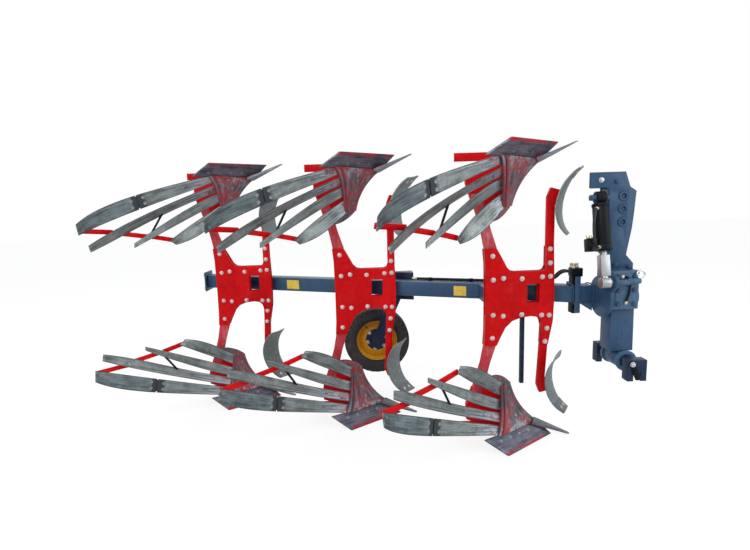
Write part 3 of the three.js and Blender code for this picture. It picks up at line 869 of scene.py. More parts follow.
class Finish(Enum):
    """The finishes of this plough."""

    RED = Paint("red_gloss", (0.66, 0.0015, 0.004), 0.34, 0.10, 0.3, sheen=0.08)
    # LEG: the pink colour of its dust layer, spread nearly all over by the high cling, is a painted
    # sheen: the pinkish look of lit red paint, not soil.
    LEG = Paint("leg_red", (0.60, 0.045, 0.060), 0.38, 0.75, 0.6, (0.62, 0.42, 0.42),
                (0.74, 0.36, 0.38), 0.15, 0.85)
    # BLUE and PALE_BLUE: the pale blue-grey colour of the dust layer, laid mostly on upward faces, is
    # settled dust and also a painted highlight that makes the tops lighter, as sky light would.
    BLUE = Paint("slate_blue", (0.026, 0.078, 0.160), 0.36, 0.62, 0.3, (0.16, 0.20, 0.25),
                 (0.27, 0.34, 0.41))
    PALE_BLUE = Paint("worn_blue", (0.065, 0.135, 0.235), 0.38, 0.5, 0.45, (0.26, 0.30, 0.34),
                      (0.34, 0.40, 0.45))
    NAVY = Paint("dark_blue", (0.010, 0.026, 0.066), 0.36, 0.3, 0.3, (0.12, 0.13, 0.15),
                 (0.20, 0.24, 0.30), 0.2)
    BLACK = Paint("satin_black", (0.004, 0.006, 0.009), 0.34, 0.2, 0.2, (0.10, 0.10, 0.11),
                  (0.12, 0.13, 0.14), 0.1, 0.05)
    YELLOW = Paint("golden_yellow", (0.72, 0.36, 0.015), 0.32, 0.24, 0.3, (0.30, 0.24, 0.14),
                   (0.44, 0.32, 0.16))
    LABEL = Paint("plain_yellow_patch", (0.85, 0.60, 0.08), 0.42, 0.12, 0.12)
    # BOARD, JOINED and SHIN carry the pale painted highlight near their roots.
    BOARD = Scoured("scoured_steel")
    JOINED = Scoured("jointed_steel", before=1.0)
    TAIL = Scoured("tail_steel", (0.135, 0.175, 0.19), root=0.0, after=1.0)
    SHIN = Scoured("shin_steel", (0.16, 0.155, 0.175), (0.030, 0.028, 0.042), root=0.3,
                   cover=0.75, metal=0.6)
    SHARE = Scoured("share_steel", (0.115, 0.145, 0.19), (0.030, 0.036, 0.052),
                    (0.40, 0.014, 0.028), root=0.0, cover=0.10, rim=0.95)
    POINT = Forged("point_steel", (0.13, 0.14, 0.165), (0.36, 0.38, 0.41), (0.16, 0.06, 0.06),
                   0.3)
    BACKING = Forged("backing_steel", (0.055, 0.058, 0.075), (0.15, 0.15, 0.17),
                     (0.20, 0.02, 0.03), 0.7)
    BLADE = Forged("skimmer_steel", (0.15, 0.185, 0.185), (0.42, 0.46, 0.45),
                   (0.12, 0.09, 0.09), 0.3)
    STUD = Plated("worn_stud", (0.27, 0.29, 0.30), (0.10, 0.10, 0.11), 0.34, 0.6)
    ROD = Plated("rod_steel", (0.42, 0.44, 0.46), (0.22, 0.22, 0.23), 0.34, 0.4)
    BOLT = Plated("bolt_zinc", (0.66, 0.55, 0.55), (0.46, 0.24, 0.22), 0.28, 0.55)
    ZINC = Plated("zinc")
    BRASSY = Plated("yellow_zinc", (0.60, 0.54, 0.38), (0.34, 0.27, 0.16), 0.28)
    CHROME = Plated("chrome", (0.76, 0.78, 0.80), (0.5, 0.5, 0.5), 0.10, 0.15)
    TYRE = Rubber("tyre_rubber", (0.012, 0.013, 0.016), (0.11, 0.10, 0.09), 0.22)
    HOSE = Rubber("hose_rubber", (0.012, 0.012, 0.014), (0.09, 0.085, 0.08), 0.2)


MATERIALS: dict[Finish, bpy.types.Material] = {}


def material(finish: Finish) -> bpy.types.Material:
    """The material of a finish, made when it is first asked for.

    Args:
        finish: The finish.

    Returns:
        Its material.
    """
    if finish not in MATERIALS:
        MATERIALS[finish] = finish.value.make()
    return MATERIALS[finish]


def done(piece: bpy.types.Object, finish: Finish, body: str = "frame") -> bpy.types.Object:
    """Gives a piece its finish and its body.

    Args:
        piece: The piece.
        finish: Its finish.
        body: The CAD body that it rides on.

    Returns:
        The same piece.
    """
    piece.data.materials.clear()
    piece.data.materials.append(material(finish))
    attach(piece, body)
    LOG.info("%s: %s on %s", piece.name, finish.name.lower(), body)
    return piece


# The plough's sub-assemblies


def moved(unit: Unit, side: Side) -> Matrix:
    """The move from the drawing's front lower body to another, mirrored for the upper side."""
    step = Vector((-BODY_SPACING, FURROW_WIDTH, 0.0)) * unit.value
    return Matrix.Translation(SHIFT + step) @ Matrix.Diagonal((1.0, 1.0, float(side.value), 1.0))


def spot(x: float, y: float, z: float) -> Vector:
    """A place on the drawing, in the row frame."""
    return Vector((x, y, z)) + SHIFT


def standing(place: Vector, out: Vector) -> Matrix:
    """The move that stands a fastener on a face, given the way out of it."""
    return Matrix.Translation(place) @ out.to_track_quat("Z", "Y").to_matrix().to_4x4()


def stud_on(strip: Curved, place: Pair, lift: float = 0.0) -> Matrix:
    """The move that stands a fastener on a strip's face, or over it by a lift."""
    foot, _, behind = strip.frame_at(*place)
    return standing(foot - behind * lift, -behind)


def spread(model: bpy.types.Object, moves: Sequence[Matrix], name: str) -> bpy.types.Object:
    """The joined copies of a small piece in several places."""
    return joined([copied(model, f"{name}.{i}", move) for i, move in enumerate(moves)], name)


def round_about(count: int, start: float = 0.0) -> list[Pair]:
    """The cosines and sines of evenly spaced turns."""
    turns = [i * math.tau / count + start for i in range(count)]
    return [(math.cos(turn), math.sin(turn)) for turn in turns]


def flat_bar(name: str, start: Vector, end: Vector, wide: float, thick: float, facing: Vector,
             bevel: float = 0.002) -> bpy.types.Object:
    """A flat bar between two points.

    Args:
        name: The piece's name.
        start: One end.
        end: The other end.
        wide: Its width.
        thick: Its thickness, along the way that it faces.
        facing: The way that its broad side faces.
        bevel: The bevel's width.

    Returns:
        The piece.
    """
    ahead = (end - start).normalized()
    side = (facing - ahead * facing.dot(ahead)).normalized()
    piece = added(bpy.ops.mesh.primitive_cube_add, size=1)
    turn = Matrix((ahead, side, ahead.cross(side))).transposed().to_4x4()
    size = Matrix.Diagonal(((end - start).length, thick, wide, 1.0))
    piece.matrix_world = Matrix.Translation((start + end) / 2) @ turn @ size
    return softened(settled(piece, name), bevel)


@dataclass
class Fasteners:
    """The bolts, nuts and plough bolts, each modelled once and standing up from zero."""

    corner: float = 0.0120
    head_high: float = 0.0085
    washer: float = 0.0145
    washer_thick: float = 0.0026
    nut_over: float = 0.001
    thread_over: float = 0.008
    thread_share: float = 0.58
    chamfer_share: float = 0.16
    dome_share: float = 0.11
    edge_share: float = 0.04
    flush: float = 0.0105
    flush_thick: float = 0.003
    flush_rim: float = 0.003
    flush_dip: float = 0.0008
    straight_up: float = 0.9
    models: dict[str, bpy.types.Object] = field(default_factory=dict)

    def topped(self, piece: bpy.types.Object, rim: float, rise: float) -> bpy.types.Object:
        """Insets a piece's top and moves the inner face.

        Args:
            piece: The piece.
            rim: The width of the inset.
            rise: How far up the inner face goes.

        Returns:
            The same piece.
        """
        pick(piece, lambda middle, normal: normal.z > self.straight_up)
        with editing(piece):
            bpy.ops.mesh.inset(thickness=rim)
            bpy.ops.transform.translate(value=(0, 0, rise))
        return piece

    def hexagon(self, high: float) -> bpy.types.Object:
        """A six-sided head with a chamfered top, which stands on its washer.

        Args:
            high: The height of its top over the washer's foot.

        Returns:
            The piece.
        """
        low, corner = self.washer_thick, self.corner
        piece = added(bpy.ops.mesh.primitive_cylinder_add, vertices=6, radius=corner,
                      depth=high - low, location=(0, 0, (low + high) / 2))
        self.topped(settled(piece, "flats"), corner * self.chamfer_share, corner * self.dome_share)
        return softened(piece, corner * self.edge_share, 1, 25.0)

    def build(self) -> None:
        """Models each fastener once."""
        foot, top = (0, 0, 0), self.washer_thick + self.head_high
        for kind, high in (("bolt", top), ("nut", top + self.nut_over)):
            parts = [self.hexagon(high),
                     rod("ring", foot, (0, 0, self.washer_thick), self.washer, 24, 0.0005)]
            if kind == "nut":
                end, radius = (0, 0, top + self.thread_over), self.corner * self.thread_share
                parts.append(rod("thread", foot, end, radius, 16, 0.0012))
            self.models[kind] = joined(parts, kind)
        disc = added(bpy.ops.mesh.primitive_cylinder_add, vertices=20, radius=self.flush,
                     depth=self.flush_thick)
        self.topped(settled(disc, "flush"), self.flush_rim, -self.flush_dip)
        self.models["flush"] = softened(disc, 0.0005, angle=25.0)

    def put(self, kind: str, moves: Sequence[Matrix], name: str, finish: Finish,
            body: str = "frame") -> bpy.types.Object:
        """Stands copies of one fastener on a body of the part."""
        return done(spread(self.models[kind], moves, name), finish, body)

    def away(self) -> None:
        """Removes the models themselves."""
        for piece in self.models.values():
            bpy.data.objects.remove(piece)
        self.models.clear()


FASTENERS = Fasteners()


@dataclass
class BodyPlates:
    """The pair of tall plates that carries each pair of bodies, and its bolts."""

    length: float = 0.406
    rear: float = -0.040
    half: float = 0.290
    thick: float = 0.012
    far: float = 0.054
    apart: float = 0.042
    spacer: float = 0.011
    bolt_shares: Shares = (
        (0.101, 0.838), (0.111, 0.36), (0.258, 0.386), (0.525, 0.366), (0.816, 0.39),
        (0.932, 0.397), (0.927, 0.666), (0.922, 0.945), (0.101, -0.838), (0.111, -0.36),
        (0.258, -0.386), (0.525, -0.366), (0.816, -0.39), (0.925, -0.397), (0.896, -0.666),
        (0.874, -0.945))

    def build(self, unit: Unit) -> None:
        """Makes one pair of plates with bolts, spacers and nuts.

        Args:
            unit: The pair of bodies that the plates carry.
        """
        far = done(dressed(f"{unit.word}_far_plate", 0.0016), Finish.RED)
        over = Matrix.Translation(TO_NEAR * self.apart)
        near = copied(far, f"{unit.word}_near_plate.dressed", over)
        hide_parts(f"{unit.word}_near_plate")
        done(near, Finish.RED)
        here = moved(unit, Side.LOWER)
        heads, nuts, spacers = [], [], []
        for along, up in self.bolt_shares:
            x, z = self.rear + along * self.length, up * self.half
            heads.append(here @ standing(Vector((x, 0, z)), TO_NEAR))
            nuts.append(here @ standing(Vector((x, self.far, z)), TO_FAR))
            spacers.append(here @ Matrix.Translation((x, 0, z)))
        FASTENERS.put("bolt", heads, f"{unit.word}_plate_bolts", Finish.BOLT)
        FASTENERS.put("nut", nuts, f"{unit.word}_plate_nuts", Finish.BOLT)
        spacer = rod("spacer", (0, self.thick, 0), (0, self.apart, 0), self.spacer, 16, 0.0)
        done(spread(spacer, spacers, f"{unit.word}_spacers"), Finish.ZINC)
        bpy.data.objects.remove(spacer)


@dataclass
class SlattedBody:
    """One plough body: shin, four slats, stays, share, point, frog and landside."""

    size: Point = (0.680, 0.520, -0.877)
    slat: float = 0.008
    root: float = 0.014
    share: float = 0.012
    point: float = 0.020
    point_ground_share: float = 0.1
    point_ground_lean: float = 0.2
    point_back_share: float = 0.3
    stay_wide: float = 0.030
    stay_thick: float = 0.012
    stay_end: float = 0.006
    spacer: float = 0.012
    spacer_sunk_share: float = 0.6
    spacer_over: float = 0.008
    stud: float = 0.009
    nut_sunk: float = 0.006
    nut_proud: float = 0.005
    mid_stay: float = 0.007
    joint_wide: float = 0.090
    joint_thick: float = 0.006
    slats: dict[str, tuple[Shares, Shares]] = field(default_factory=lambda: {
        "a": (((-0.01, -0.22, 0.905), (-0.56, -0.55, 0.79), (-0.88, -0.84, 0.7), (-0.978, -1.05, 0.565)),
              ((0.065, -0.13, 0.865), (-0.56, -0.54, 0.68), (-0.87, -0.79, 0.565), (-0.99, -1, 0.49))),
        "b": (((0.11, -0.1, 0.86), (-0.39, -0.43, 0.69), (-0.74, -0.73, 0.545), (-0.905, -1.02, 0.417)),
              ((0.115, -0.05, 0.8), (-0.405, -0.325, 0.66), (-0.735, -0.635, 0.465), (-0.9, -1, 0.37))),
        "c": (((0.1, -0.07, 0.775), (0.03, -0.04, 0.78), (-0.18, -0.2, 0.7), (-0.63, -0.68, 0.413)),
              ((0.11, -0.04, 0.71), (0.045, 0, 0.71), (-0.15, -0.135, 0.62), (-0.63, -0.69, 0.378))),
        "d": (((0.11, -0.02, 0.7), (-0.05, -0.025, 0.627), (-0.22, -0.2, 0.545), (-0.363, -0.45, 0.416)),
              ((0.13, 0, 0.604), (0.03, -0.1, 0.57), (-0.1, -0.25, 0.42), (-0.334, -0.375, 0.38)))})
    shin_land_shares: Shares = ((0.426, 0.08, 0.895), (0.316, 0.067, 0.838), (0.206, 0.048, 0.741),
                                (0.17, 0.077, 0.6))
    shin_board_shares: Shares = ((0.045, -0.21, 0.912), (0.09, -0.135, 0.844), (0.09, -0.077, 0.73),
                                 (0.09, -0.04, 0.593))
    crest_shares: Shares = ((0.17, 0.077, 0.6), (0.15, 0.06, 0.575), (0.05, -0.05, 0.505),
                            (-0.03, -0.158, 0.508))
    crest_reach_share: float = 0.45
    crest_over_share: float = 0.85
    crest_inset: float = 0.0002
    share_front_shares: Shares = ((0.56, 0.06, 0.995), (0.069, -0.385, 0.995))
    share_rear_shares: Shares = ((0.434, 0.087, 0.9), (-0.125, -0.317, 0.9))
    point_front_shares: Shares = ((0.735, 0.09, 0.99), (0.725, 0.045, 0.99))
    point_rear_shares: Shares = ((0.4, 0.09, 0.878), (0.36, -0.02, 0.886))
    root_shares: Pair = (-0.12, 0.35)
    frog_cut: tuple[Pair, Pair] = ((-0.1406, -0.7534), (-0.0102, -0.799))
    stay_shares: tuple[tuple[str, Pair, Pair], ...] = (
        ("ab", (0.94, 0.9), (0.77, 0.25)), ("bc", (0.72, 0.85), (0.93, 0.25)),
        ("cd", (0.9, 0.85), (0.97, 0.3)))
    mid_stay_shares: tuple[Pair, Pair] = ((0.4, 0.8), (0.9, 0.2))
    joint_shares: Pair = (0.428, 0.436)
    joint_across_shares: Pair = (0.08, 0.92)
    long_slat_bolt_shares: Pair = (0.10, 0.155)
    short_slat_bolt_shares: Pair = (0.17, 0.25)
    joint_bolt_shares: Shares = ((0.39, 0.28), (0.39, 0.72), (0.474, 0.28), (0.474, 0.72))
    stay_bolt_shares: Pair = (0.3, 0.7)
    shin_bolt_shares: Shares = ((0.12, 0.35), (0.12, 0.7), (0.36, 0.5), (0.6, 0.5), (0.84, 0.5))
    share_bolt_shares: Shares = ((0.3, 0.68), (0.48, 0.68), (0.66, 0.68), (0.84, 0.68))
    landside_bolt_shares: Point = (0.55, 0.72, 0.89)
    models: dict[str, tuple[bpy.types.Object, Finish]] = field(default_factory=dict)

    def edge(self, shares: Shares) -> Callable[[float], Vector]:
        """A curved edge from its four shares."""
        return lambda along: cubic(shares, self.size, along)

    def line(self, shares: Shares) -> Callable[[float], Vector]:
        """A straight edge from its two shares."""
        first, last = (Vector([a * b for a, b in zip(share, self.size)]) for share in shares)
        return lambda along: first.lerp(last, along)

    def strip(self, name: str, first: float = 0.0, last: float = 1.0) -> Curved:
        """One slat's strip, or a length of it."""
        outer, inner = self.slats[name]
        return Curved(self.edge(outer), self.edge(inner), first, last)

    def shin(self) -> Curved:
        """The shin's strip."""
        return Curved(self.edge(self.shin_board_shares), self.edge(self.shin_land_shares))

    def blade(self) -> Curved:
        """The share's strip."""
        return Curved(self.line(self.share_front_shares), self.line(self.share_rear_shares))

    def keep(self, name: str, piece: bpy.types.Object, finish: Finish) -> None:
        """Keeps a model for its copies."""
        self.models[name] = (piece, finish)

    def above_ground(self, piece: bpy.types.Object) -> bpy.types.Object:
        """Cuts a piece off at the ground that it stands on.

        Args:
            piece: The piece, on the drawing.

        Returns:
            The same piece.
        """
        with editing(piece):
            bpy.ops.mesh.select_all(action="SELECT")
            bpy.ops.mesh.bisect(plane_co=(0, 0, self.size[2]), plane_no=UPWARD, use_fill=True,
                                clear_inner=True)
        return softened(merged(piece), 0.0, angle=30.0)

    def plates(self) -> None:
        """Models the shin, the slats, the crest and the plate behind their roots."""
        shin, top = self.shin(), self.strip("d")
        low, high = self.root_shares
        behind = Curved(lambda u: shin.outer(u).lerp(shin.inner(u), low),
                        lambda u: shin.outer(u).lerp(shin.inner(u), high))
        reach, over = self.crest_reach_share, self.crest_over_share
        crest = Curved(lambda u: top.outer(reach * u).lerp(top.inner(reach * u), over),
                       self.edge(self.crest_shares))
        cut, again = self.joint_shares
        self.keep("shin", shin.build("shin", -self.slat, 0.0), Finish.SHIN)
        self.keep("root_plate", behind.build("root_plate", 0.0, self.root), Finish.SHIN)
        for name, strip, finish in (("slat_a", self.strip("a", 0.0, cut), Finish.JOINED),
                                    ("tail", self.strip("a", again, 1.0), Finish.TAIL),
                                    ("slat_b", self.strip("b"), Finish.BOARD),
                                    ("slat_c", self.strip("c"), Finish.BOARD),
                                    ("slat_d", top, Finish.BOARD)):
            self.keep(name, strip.build(name, 0.0, self.slat), finish)
        inset = self.crest_inset
        self.keep("crest", crest.build("crest", inset, self.slat - inset), Finish.SHIN)

    def behind_slat(self, name: str, place: Pair, depth: float) -> tuple[Vector, Vector]:
        """A place at a depth behind a slat's face, and the way behind the slat."""
        on_face, _, behind = self.strip(name).frame_at(*place)
        return on_face + behind * depth, behind

    def stays(self) -> None:
        """Models the bars behind the slats, their fixings and the plate behind the joint."""
        depth = self.slat + self.spacer + self.stay_thick / 2
        parts = []
        for pair, *places in self.stay_shares:
            (start, facing), (end, other) = (self.behind_slat(name, place, depth)
                                             for name, place in zip(pair, places))
            over = (end - start).normalized() * self.stay_end
            parts.append(flat_bar("bar", start - over, end + over, self.stay_wide,
                                  self.stay_thick, facing + other))
            for name, place, inward in zip(pair, places, (over, -over)):
                foot, behind = self.behind_slat(name, place, self.slat * self.spacer_sunk_share)
                head = foot + behind * (self.spacer + self.spacer_over)
                parts.append(rod("spacer", foot, head, self.stud, 20))
                foot = foot + inward
                parts.append(rod("end_nut", foot + behind * (depth - self.nut_sunk),
                                 foot + behind * (depth + self.nut_proud), self.stud, 6, 0.0008))
        self.keep("tail_stays", joined(parts, "tail_stays"), Finish.RED)
        first, last = (self.behind_slat(name, place, self.slat)[0]
                       for name, place in zip("bc", self.mid_stay_shares))
        self.keep("mid_stay", rod("mid_stay", first, last, self.mid_stay, 20), Finish.BLACK)
        middle, depth = sum(self.joint_shares) / 2, self.slat + self.joint_thick / 2
        (over, facing), (under, _) = (self.behind_slat("a", (middle, across), depth)
                                      for across in self.joint_across_shares)
        self.keep("tail_joint", flat_bar("tail_joint", over, under, self.joint_wide,
                                         self.joint_thick, facing), Finish.BACKING)

    def cutters(self) -> None:
        """Models the share and its point."""
        blade = self.blade().build("share", 0.0, self.share, runs=12)
        self.keep("share", self.above_ground(blade), Finish.SHARE)
        nose = Curved(self.line(self.point_front_shares), self.line(self.point_rear_shares))
        lift = self.share / 2
        spike = self.above_ground(nose.build("point", -lift, self.point - lift, runs=4))
        tip, _, behind = nose.frame_at(0.0, 0.5)
        ahead = (tip - nose.frame_at(self.point_back_share, 0.5)[0]).normalized()
        ground = tip + behind * self.point * self.point_ground_share
        out = ahead * self.point_ground_lean - behind
        self.keep("point", cut_off(spike, ground, out), Finish.POINT)

    def bolts(self) -> list[Matrix]:
        """Where the flush bolts stand.

        Returns:
            Their moves, on the drawing.
        """
        low, high = self.stay_bolt_shares
        moves = [stud_on(self.strip(name), (along, 0.5)) for name in "abcd" for along in
                 (self.short_slat_bolt_shares if name in "cd" else self.long_slat_bolt_shares)]
        moves += [stud_on(self.strip("a"), place) for place in self.joint_bolt_shares]
        moves += [stud_on(self.strip(name), (along, min(max(across, low), high)))
                  for pair, *places in self.stay_shares
                  for name, (along, across) in zip(pair, places)]
        moves += [stud_on(self.shin(), place, self.slat) for place in self.shin_bolt_shares]
        return moves + [stud_on(self.blade(), place) for place in self.share_bolt_shares]

    def build(self) -> None:
        """Models one body and puts a copy in each of the six places."""
        self.plates()
        self.stays()
        self.cutters()
        bolts = self.bolts()
        for unit in Unit:
            for side in Side:
                self.place(unit, side, bolts)
        for piece, _ in self.models.values():
            bpy.data.objects.remove(piece)

    def place(self, unit: Unit, side: Side, bolts: Sequence[Matrix]) -> None:
        """Copies the body to one place and dresses its CAD pieces.

        Args:
            unit: The pair of bodies.
            side: The lower or the upper body.
            bolts: Where the flush bolts stand on the drawing.
        """
        here = moved(unit, side)
        nodes = {"shin": "mouldboard", "share": "share"}
        for name, (piece, finish) in self.models.items():
            copy = done(copied(piece, f"{unit.word}_{name}_{side.word}", here), finish)
            if name in nodes:
                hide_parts(f"{unit.word}_{nodes[name]}_{side.word}")
        FASTENERS.put("flush", [here @ move for move in bolts],
                      f"{unit.word}_board_bolts_{side.word}", Finish.STUD)
        for node, bevel, finish in (("leg", 0.0035, Finish.LEG), ("landside", 0.003, Finish.RED)):
            done(dressed(f"{unit.word}_{node}_{side.word}", bevel), finish)
        first, last = (Vector((x, 0.0, z)) for x, z in self.frog_cut)
        out = here.to_3x3() @ Vector((last.z - first.z, 0.0, first.x - last.x))
        frog = dressed(f"{unit.word}_frog_{side.word}", 0.0015)
        done(cut_off(frog, here @ first, out), Finish.RED)
        low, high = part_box(f"{unit.word}_landside_{side.word}")
        foot = Vector((low.x, high.y, (low.z + high.z) / 2))
        studs = [standing(foot + Vector((share * (high.x - low.x), 0, 0)), TO_FAR)
                 for share in self.landside_bolt_shares]
        FASTENERS.put("flush", studs, f"{unit.word}_landside_bolts_{side.word}", Finish.BRASSY)


@dataclass
class Skimmer:
    """A skimmer: its arm between the plates and its curved blade."""

    rear: float = -0.040
    length: float = 0.406
    arm: float = 0.600
    start: float = 0.145
    near: float = 0.0123
    far: float = 0.0417
    spread: float = 0.125
    thick: float = 0.008
    crown: float = 0.004
    edge_proud: float = 0.004
    edge_crown: float = 0.003
    edge_share: float = 0.2
    lean_start_share: float = 0.4
    lean: dict[Side, float] = field(
        default_factory=lambda: {Side.LOWER: 0.042, Side.UPPER: 0.0})
    lift: dict[Side, float] = field(
        default_factory=lambda: {Side.LOWER: 0.025, Side.UPPER: 0.0})
    arm_shares: Shares = (
        (0.877, 0.275), (0.877, 0.5), (0.877, 0.95), (0.93, 1.04), (1.13, 1.0), (1.11, 0.93),
        (0.99, 0.87), (0.99, 0.5), (0.99, 0.275))
    land_shares: Shares = ((1.411, 1.23), (1.133, 1.083), (1.022, 0.75), (1.241, 0.598))
    wing_shares: Shares = ((1.219, 1.197), (0.911, 1.083), (0.776, 0.75), (1.071, 0.597))
    blade_bolt_shares: Shares = ((0.4, 0.72), (0.52, 0.72))
    blade_bolt_lift: float = 0.002
    edge_bolt_shares: Shares = ((0.09, 0.3), (0.09, 0.7))
    edge_bolt_lift: float = 0.006

    def at(self, share: Sequence[float], across: float, side: Side) -> Vector:
        """A place on the skimmer.

        Args:
            share: Its shares of the plate's length and the arm's length.
            across: Its place along Y.
            side: The lower or the upper skimmer.

        Returns:
            The place on the drawing, before it is mirrored.
        """
        along, down = share
        below = (down * self.arm - self.start) / (self.arm - self.start)
        start = self.lean_start_share
        back = self.lean[side] * (start + (1 - start) * below)
        return Vector((self.rear + along * self.length - back, across,
                       self.lift[side] * below - down * self.arm))

    def build(self, side: Side) -> None:
        """Models one skimmer and copies it to the three pairs.

        Args:
            side: The lower or the upper skimmers.
        """
        corners = [self.at(share, self.near, side) for share in self.arm_shares]
        arm = prism("arm", corners, (0, self.far - self.near, 0), 0.0035)
        wing = [self.at(share, self.far - self.spread, side) for share in self.wing_shares]
        land = [self.at(share, self.far, side) for share in self.land_shares]
        whole = (1.0, 1.0, 1.0)
        strip = Curved(lambda u: cubic(wing, whole, u), lambda u: cubic(land, whole, u))
        blade = strip.build("blade", 0.0, self.thick, self.crown)
        low_strip = Curved(strip.outer, strip.inner, 0.0, self.edge_share)
        edge = low_strip.build("edge", -self.edge_proud, 0.0, self.edge_crown, 8)
        moves = [stud_on(strip, place, self.blade_bolt_lift) for place in self.blade_bolt_shares]
        moves += [stud_on(strip, place, self.edge_bolt_lift) for place in self.edge_bolt_shares]
        for unit in Unit:
            here, word = moved(unit, side), f"{unit.word}_skimmer"
            shown = done(copied(arm, f"{word}_arm_{side.word}", here), Finish.RED)
            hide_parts(f"{word}_{side.word}")
            done(copied(blade, f"{word}_blade_{side.word}", here), Finish.BLADE)
            done(copied(edge, f"{word}_edge_{side.word}", here), Finish.POINT)
            FASTENERS.put("flush", [here @ move for move in moves],
                          f"{word}_bolts_{side.word}", Finish.BRASSY)
        for piece in (arm, blade, edge):
            bpy.data.objects.remove(piece)


@dataclass
class MainBeam:
    """The oblique beam, its wedges, neck, end plate, clamp, pipes and plain patches."""

    side: float = 0.100
    slope: float = FURROW_WIDTH / BODY_SPACING
    bevel: float = 0.009
    plate_front: float = 0.366
    plate_far: float = 0.054
    gap: float = 0.005
    rear: float = -2.010
    front: float = 0.479
    setback: float = 0.066
    hub: float = 0.600
    touch: float = 0.0003
    sunk: float = 0.002
    wedge_half: float = 0.046
    wedges: tuple[Pair, ...] = ((-0.026, 0.1665), (0.2915, 0.3595))
    bead: float = 0.0042
    bead_inset: float = 0.008
    root_bead: float = 0.001
    hub_bead: float = 0.003
    gusset_foot: float = 0.035
    gusset_low: float = -0.104
    gusset_aside: float = 0.012
    gusset_thick: float = 0.014
    gusset_touch: float = 0.001
    end_bolt_shares: Pair = (0.15, 0.85)
    strap_over: float = 0.0015
    strap_proud: float = 0.003
    strap_inset: float = 0.010
    manifold_low: Point = (-0.004, -0.030, -0.016)
    manifold_high: Point = (0.030, 0.030, 0.034)
    clamp_fittings: Shares = ((0.008, -0.016, 0.033), (0.008, 0.016, 0.033), (0.034, 0.0, 0.033))
    fitting_long: float = 0.030
    pipe_end_long: float = 0.034
    fitting_hexagon: float = 0.0105
    fitting_sleeve: float = 0.0085
    hexagon_end_share: float = 0.45
    sleeve_start_share: float = 0.4
    hose_starts: Shares = ((-0.002, -0.015, 0.012), (-0.002, 0.015, 0.012))
    hose_leaves: Point = (-0.040, 0.006, 0.004)
    hose_run: tuple[Pair, ...] = ((0.40, 0.032), (0.30, 0.014))
    hose: float = 0.0085
    pipe: float = 0.0075
    pipe_shares: Pair = (0.66, 0.80)
    pipe_run: tuple[Pair, ...] = (
        (0.315, 0.014), (0.24, 0.0105), (0.0, 0.0095), (-0.36, 0.0095), (-0.385, 0.0095))
    clips: Point = (0.20, -0.05, -0.30)
    clip_shares: Point = (0.57, 0.73, 0.89)
    clip_lift: float = 0.010
    clip_wide: float = 0.022
    clip_thick: float = 0.021
    patches: tuple[tuple[float, float, float, float], ...] = (
        (-1.2745, 0.103, 0.066, 0.000), (-0.1325, 0.080, 0.062, -0.003))
    patch_thick: float = 0.0008

    def near(self, x: float) -> float:
        """The Y of the beam's near face at a place along the machine."""
        return self.plate_far + self.gap + (self.plate_front - x) * self.slope

    def deep(self) -> float:
        """The beam's depth along Y, cut square to the machine."""
        return self.side * math.hypot(1.0, self.slope)

    def ahead(self) -> Vector:
        """The way along the beam to its front."""
        return Vector((1, -self.slope, 0)).normalized()

    def on_top(self, x: float, share: float, lift: float) -> Vector:
        """A place over the beam's top, by its X, its share of the depth and its height."""
        return spot(x, self.near(x) + share * self.deep(), self.side / 2 + lift)

    def build(self) -> None:
        """Builds the beam and what is fixed to it."""
        half, deep = self.side / 2, self.deep()
        near_rear, near_front = self.near(self.rear), self.near(self.front)
        corners = [spot(self.rear, near_rear, -half), spot(self.front, near_front, -half),
                   spot(self.front, near_front + deep, -half),
                   spot(self.rear, near_rear + deep, -half)]
        tube = done(prism("beam.tube", corners, (0, 0, self.side), self.bevel), Finish.BLUE)
        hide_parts("beam")
        foot = self.plate_far + self.touch
        for unit in Unit:
            step = Vector((-BODY_SPACING, FURROW_WIDTH, 0.0)) * unit.value
            for i, (first, last) in enumerate(self.wedges):
                corners = [(first, foot), (last, foot), (last, self.near(last) + self.sunk),
                           (first, self.near(first) + self.sunk)]
                wedge = prism(f"{unit.word}_wedge_{i}",
                              [spot(x, y, -self.wedge_half) + step for x, y in corners],
                              (0, 0, 2 * self.wedge_half))
                done(wedge, Finish.BLUE)
        low = AXIS_SIDE + self.setback
        neck = box("beam.neck", spot(self.front - self.sunk, low, -half),
                   spot(self.hub - self.touch, low + self.side, half), self.bevel)
        done(neck, Finish.BLUE)
        self.seams(low)
        self.ends()
        self.top()
        self.marks()

    def seams(self, low: float) -> None:
        """Lays the weld beads round the neck and fits the gusset under it.

        Args:
            low: The neck's near side.
        """
        half, far, inset = self.side / 2, low + self.side, self.bead_inset
        turns = [(low, inset - half), (low, half - inset), (low + inset, half),
                 (far - inset, half), (far, half - inset), (far, inset - half)]
        for name, x in (("root", self.front + self.root_bead), ("hub", self.hub - self.hub_bead)):
            bead = hose(f"neck_{name}_bead", [spot(x, y, z) for y, z in turns], self.bead)
            done(bead, Finish.BLUE)
        y, under = low + self.gusset_aside, self.gusset_touch - half
        back, front = self.front + self.gusset_foot, self.hub - self.gusset_touch
        corners = [spot(back, y, under), spot(front, y, self.gusset_low), spot(front, y, under)]
        done(prism("neck_gusset", corners, (0, self.gusset_thick, 0)), Finish.PALE_BLUE)

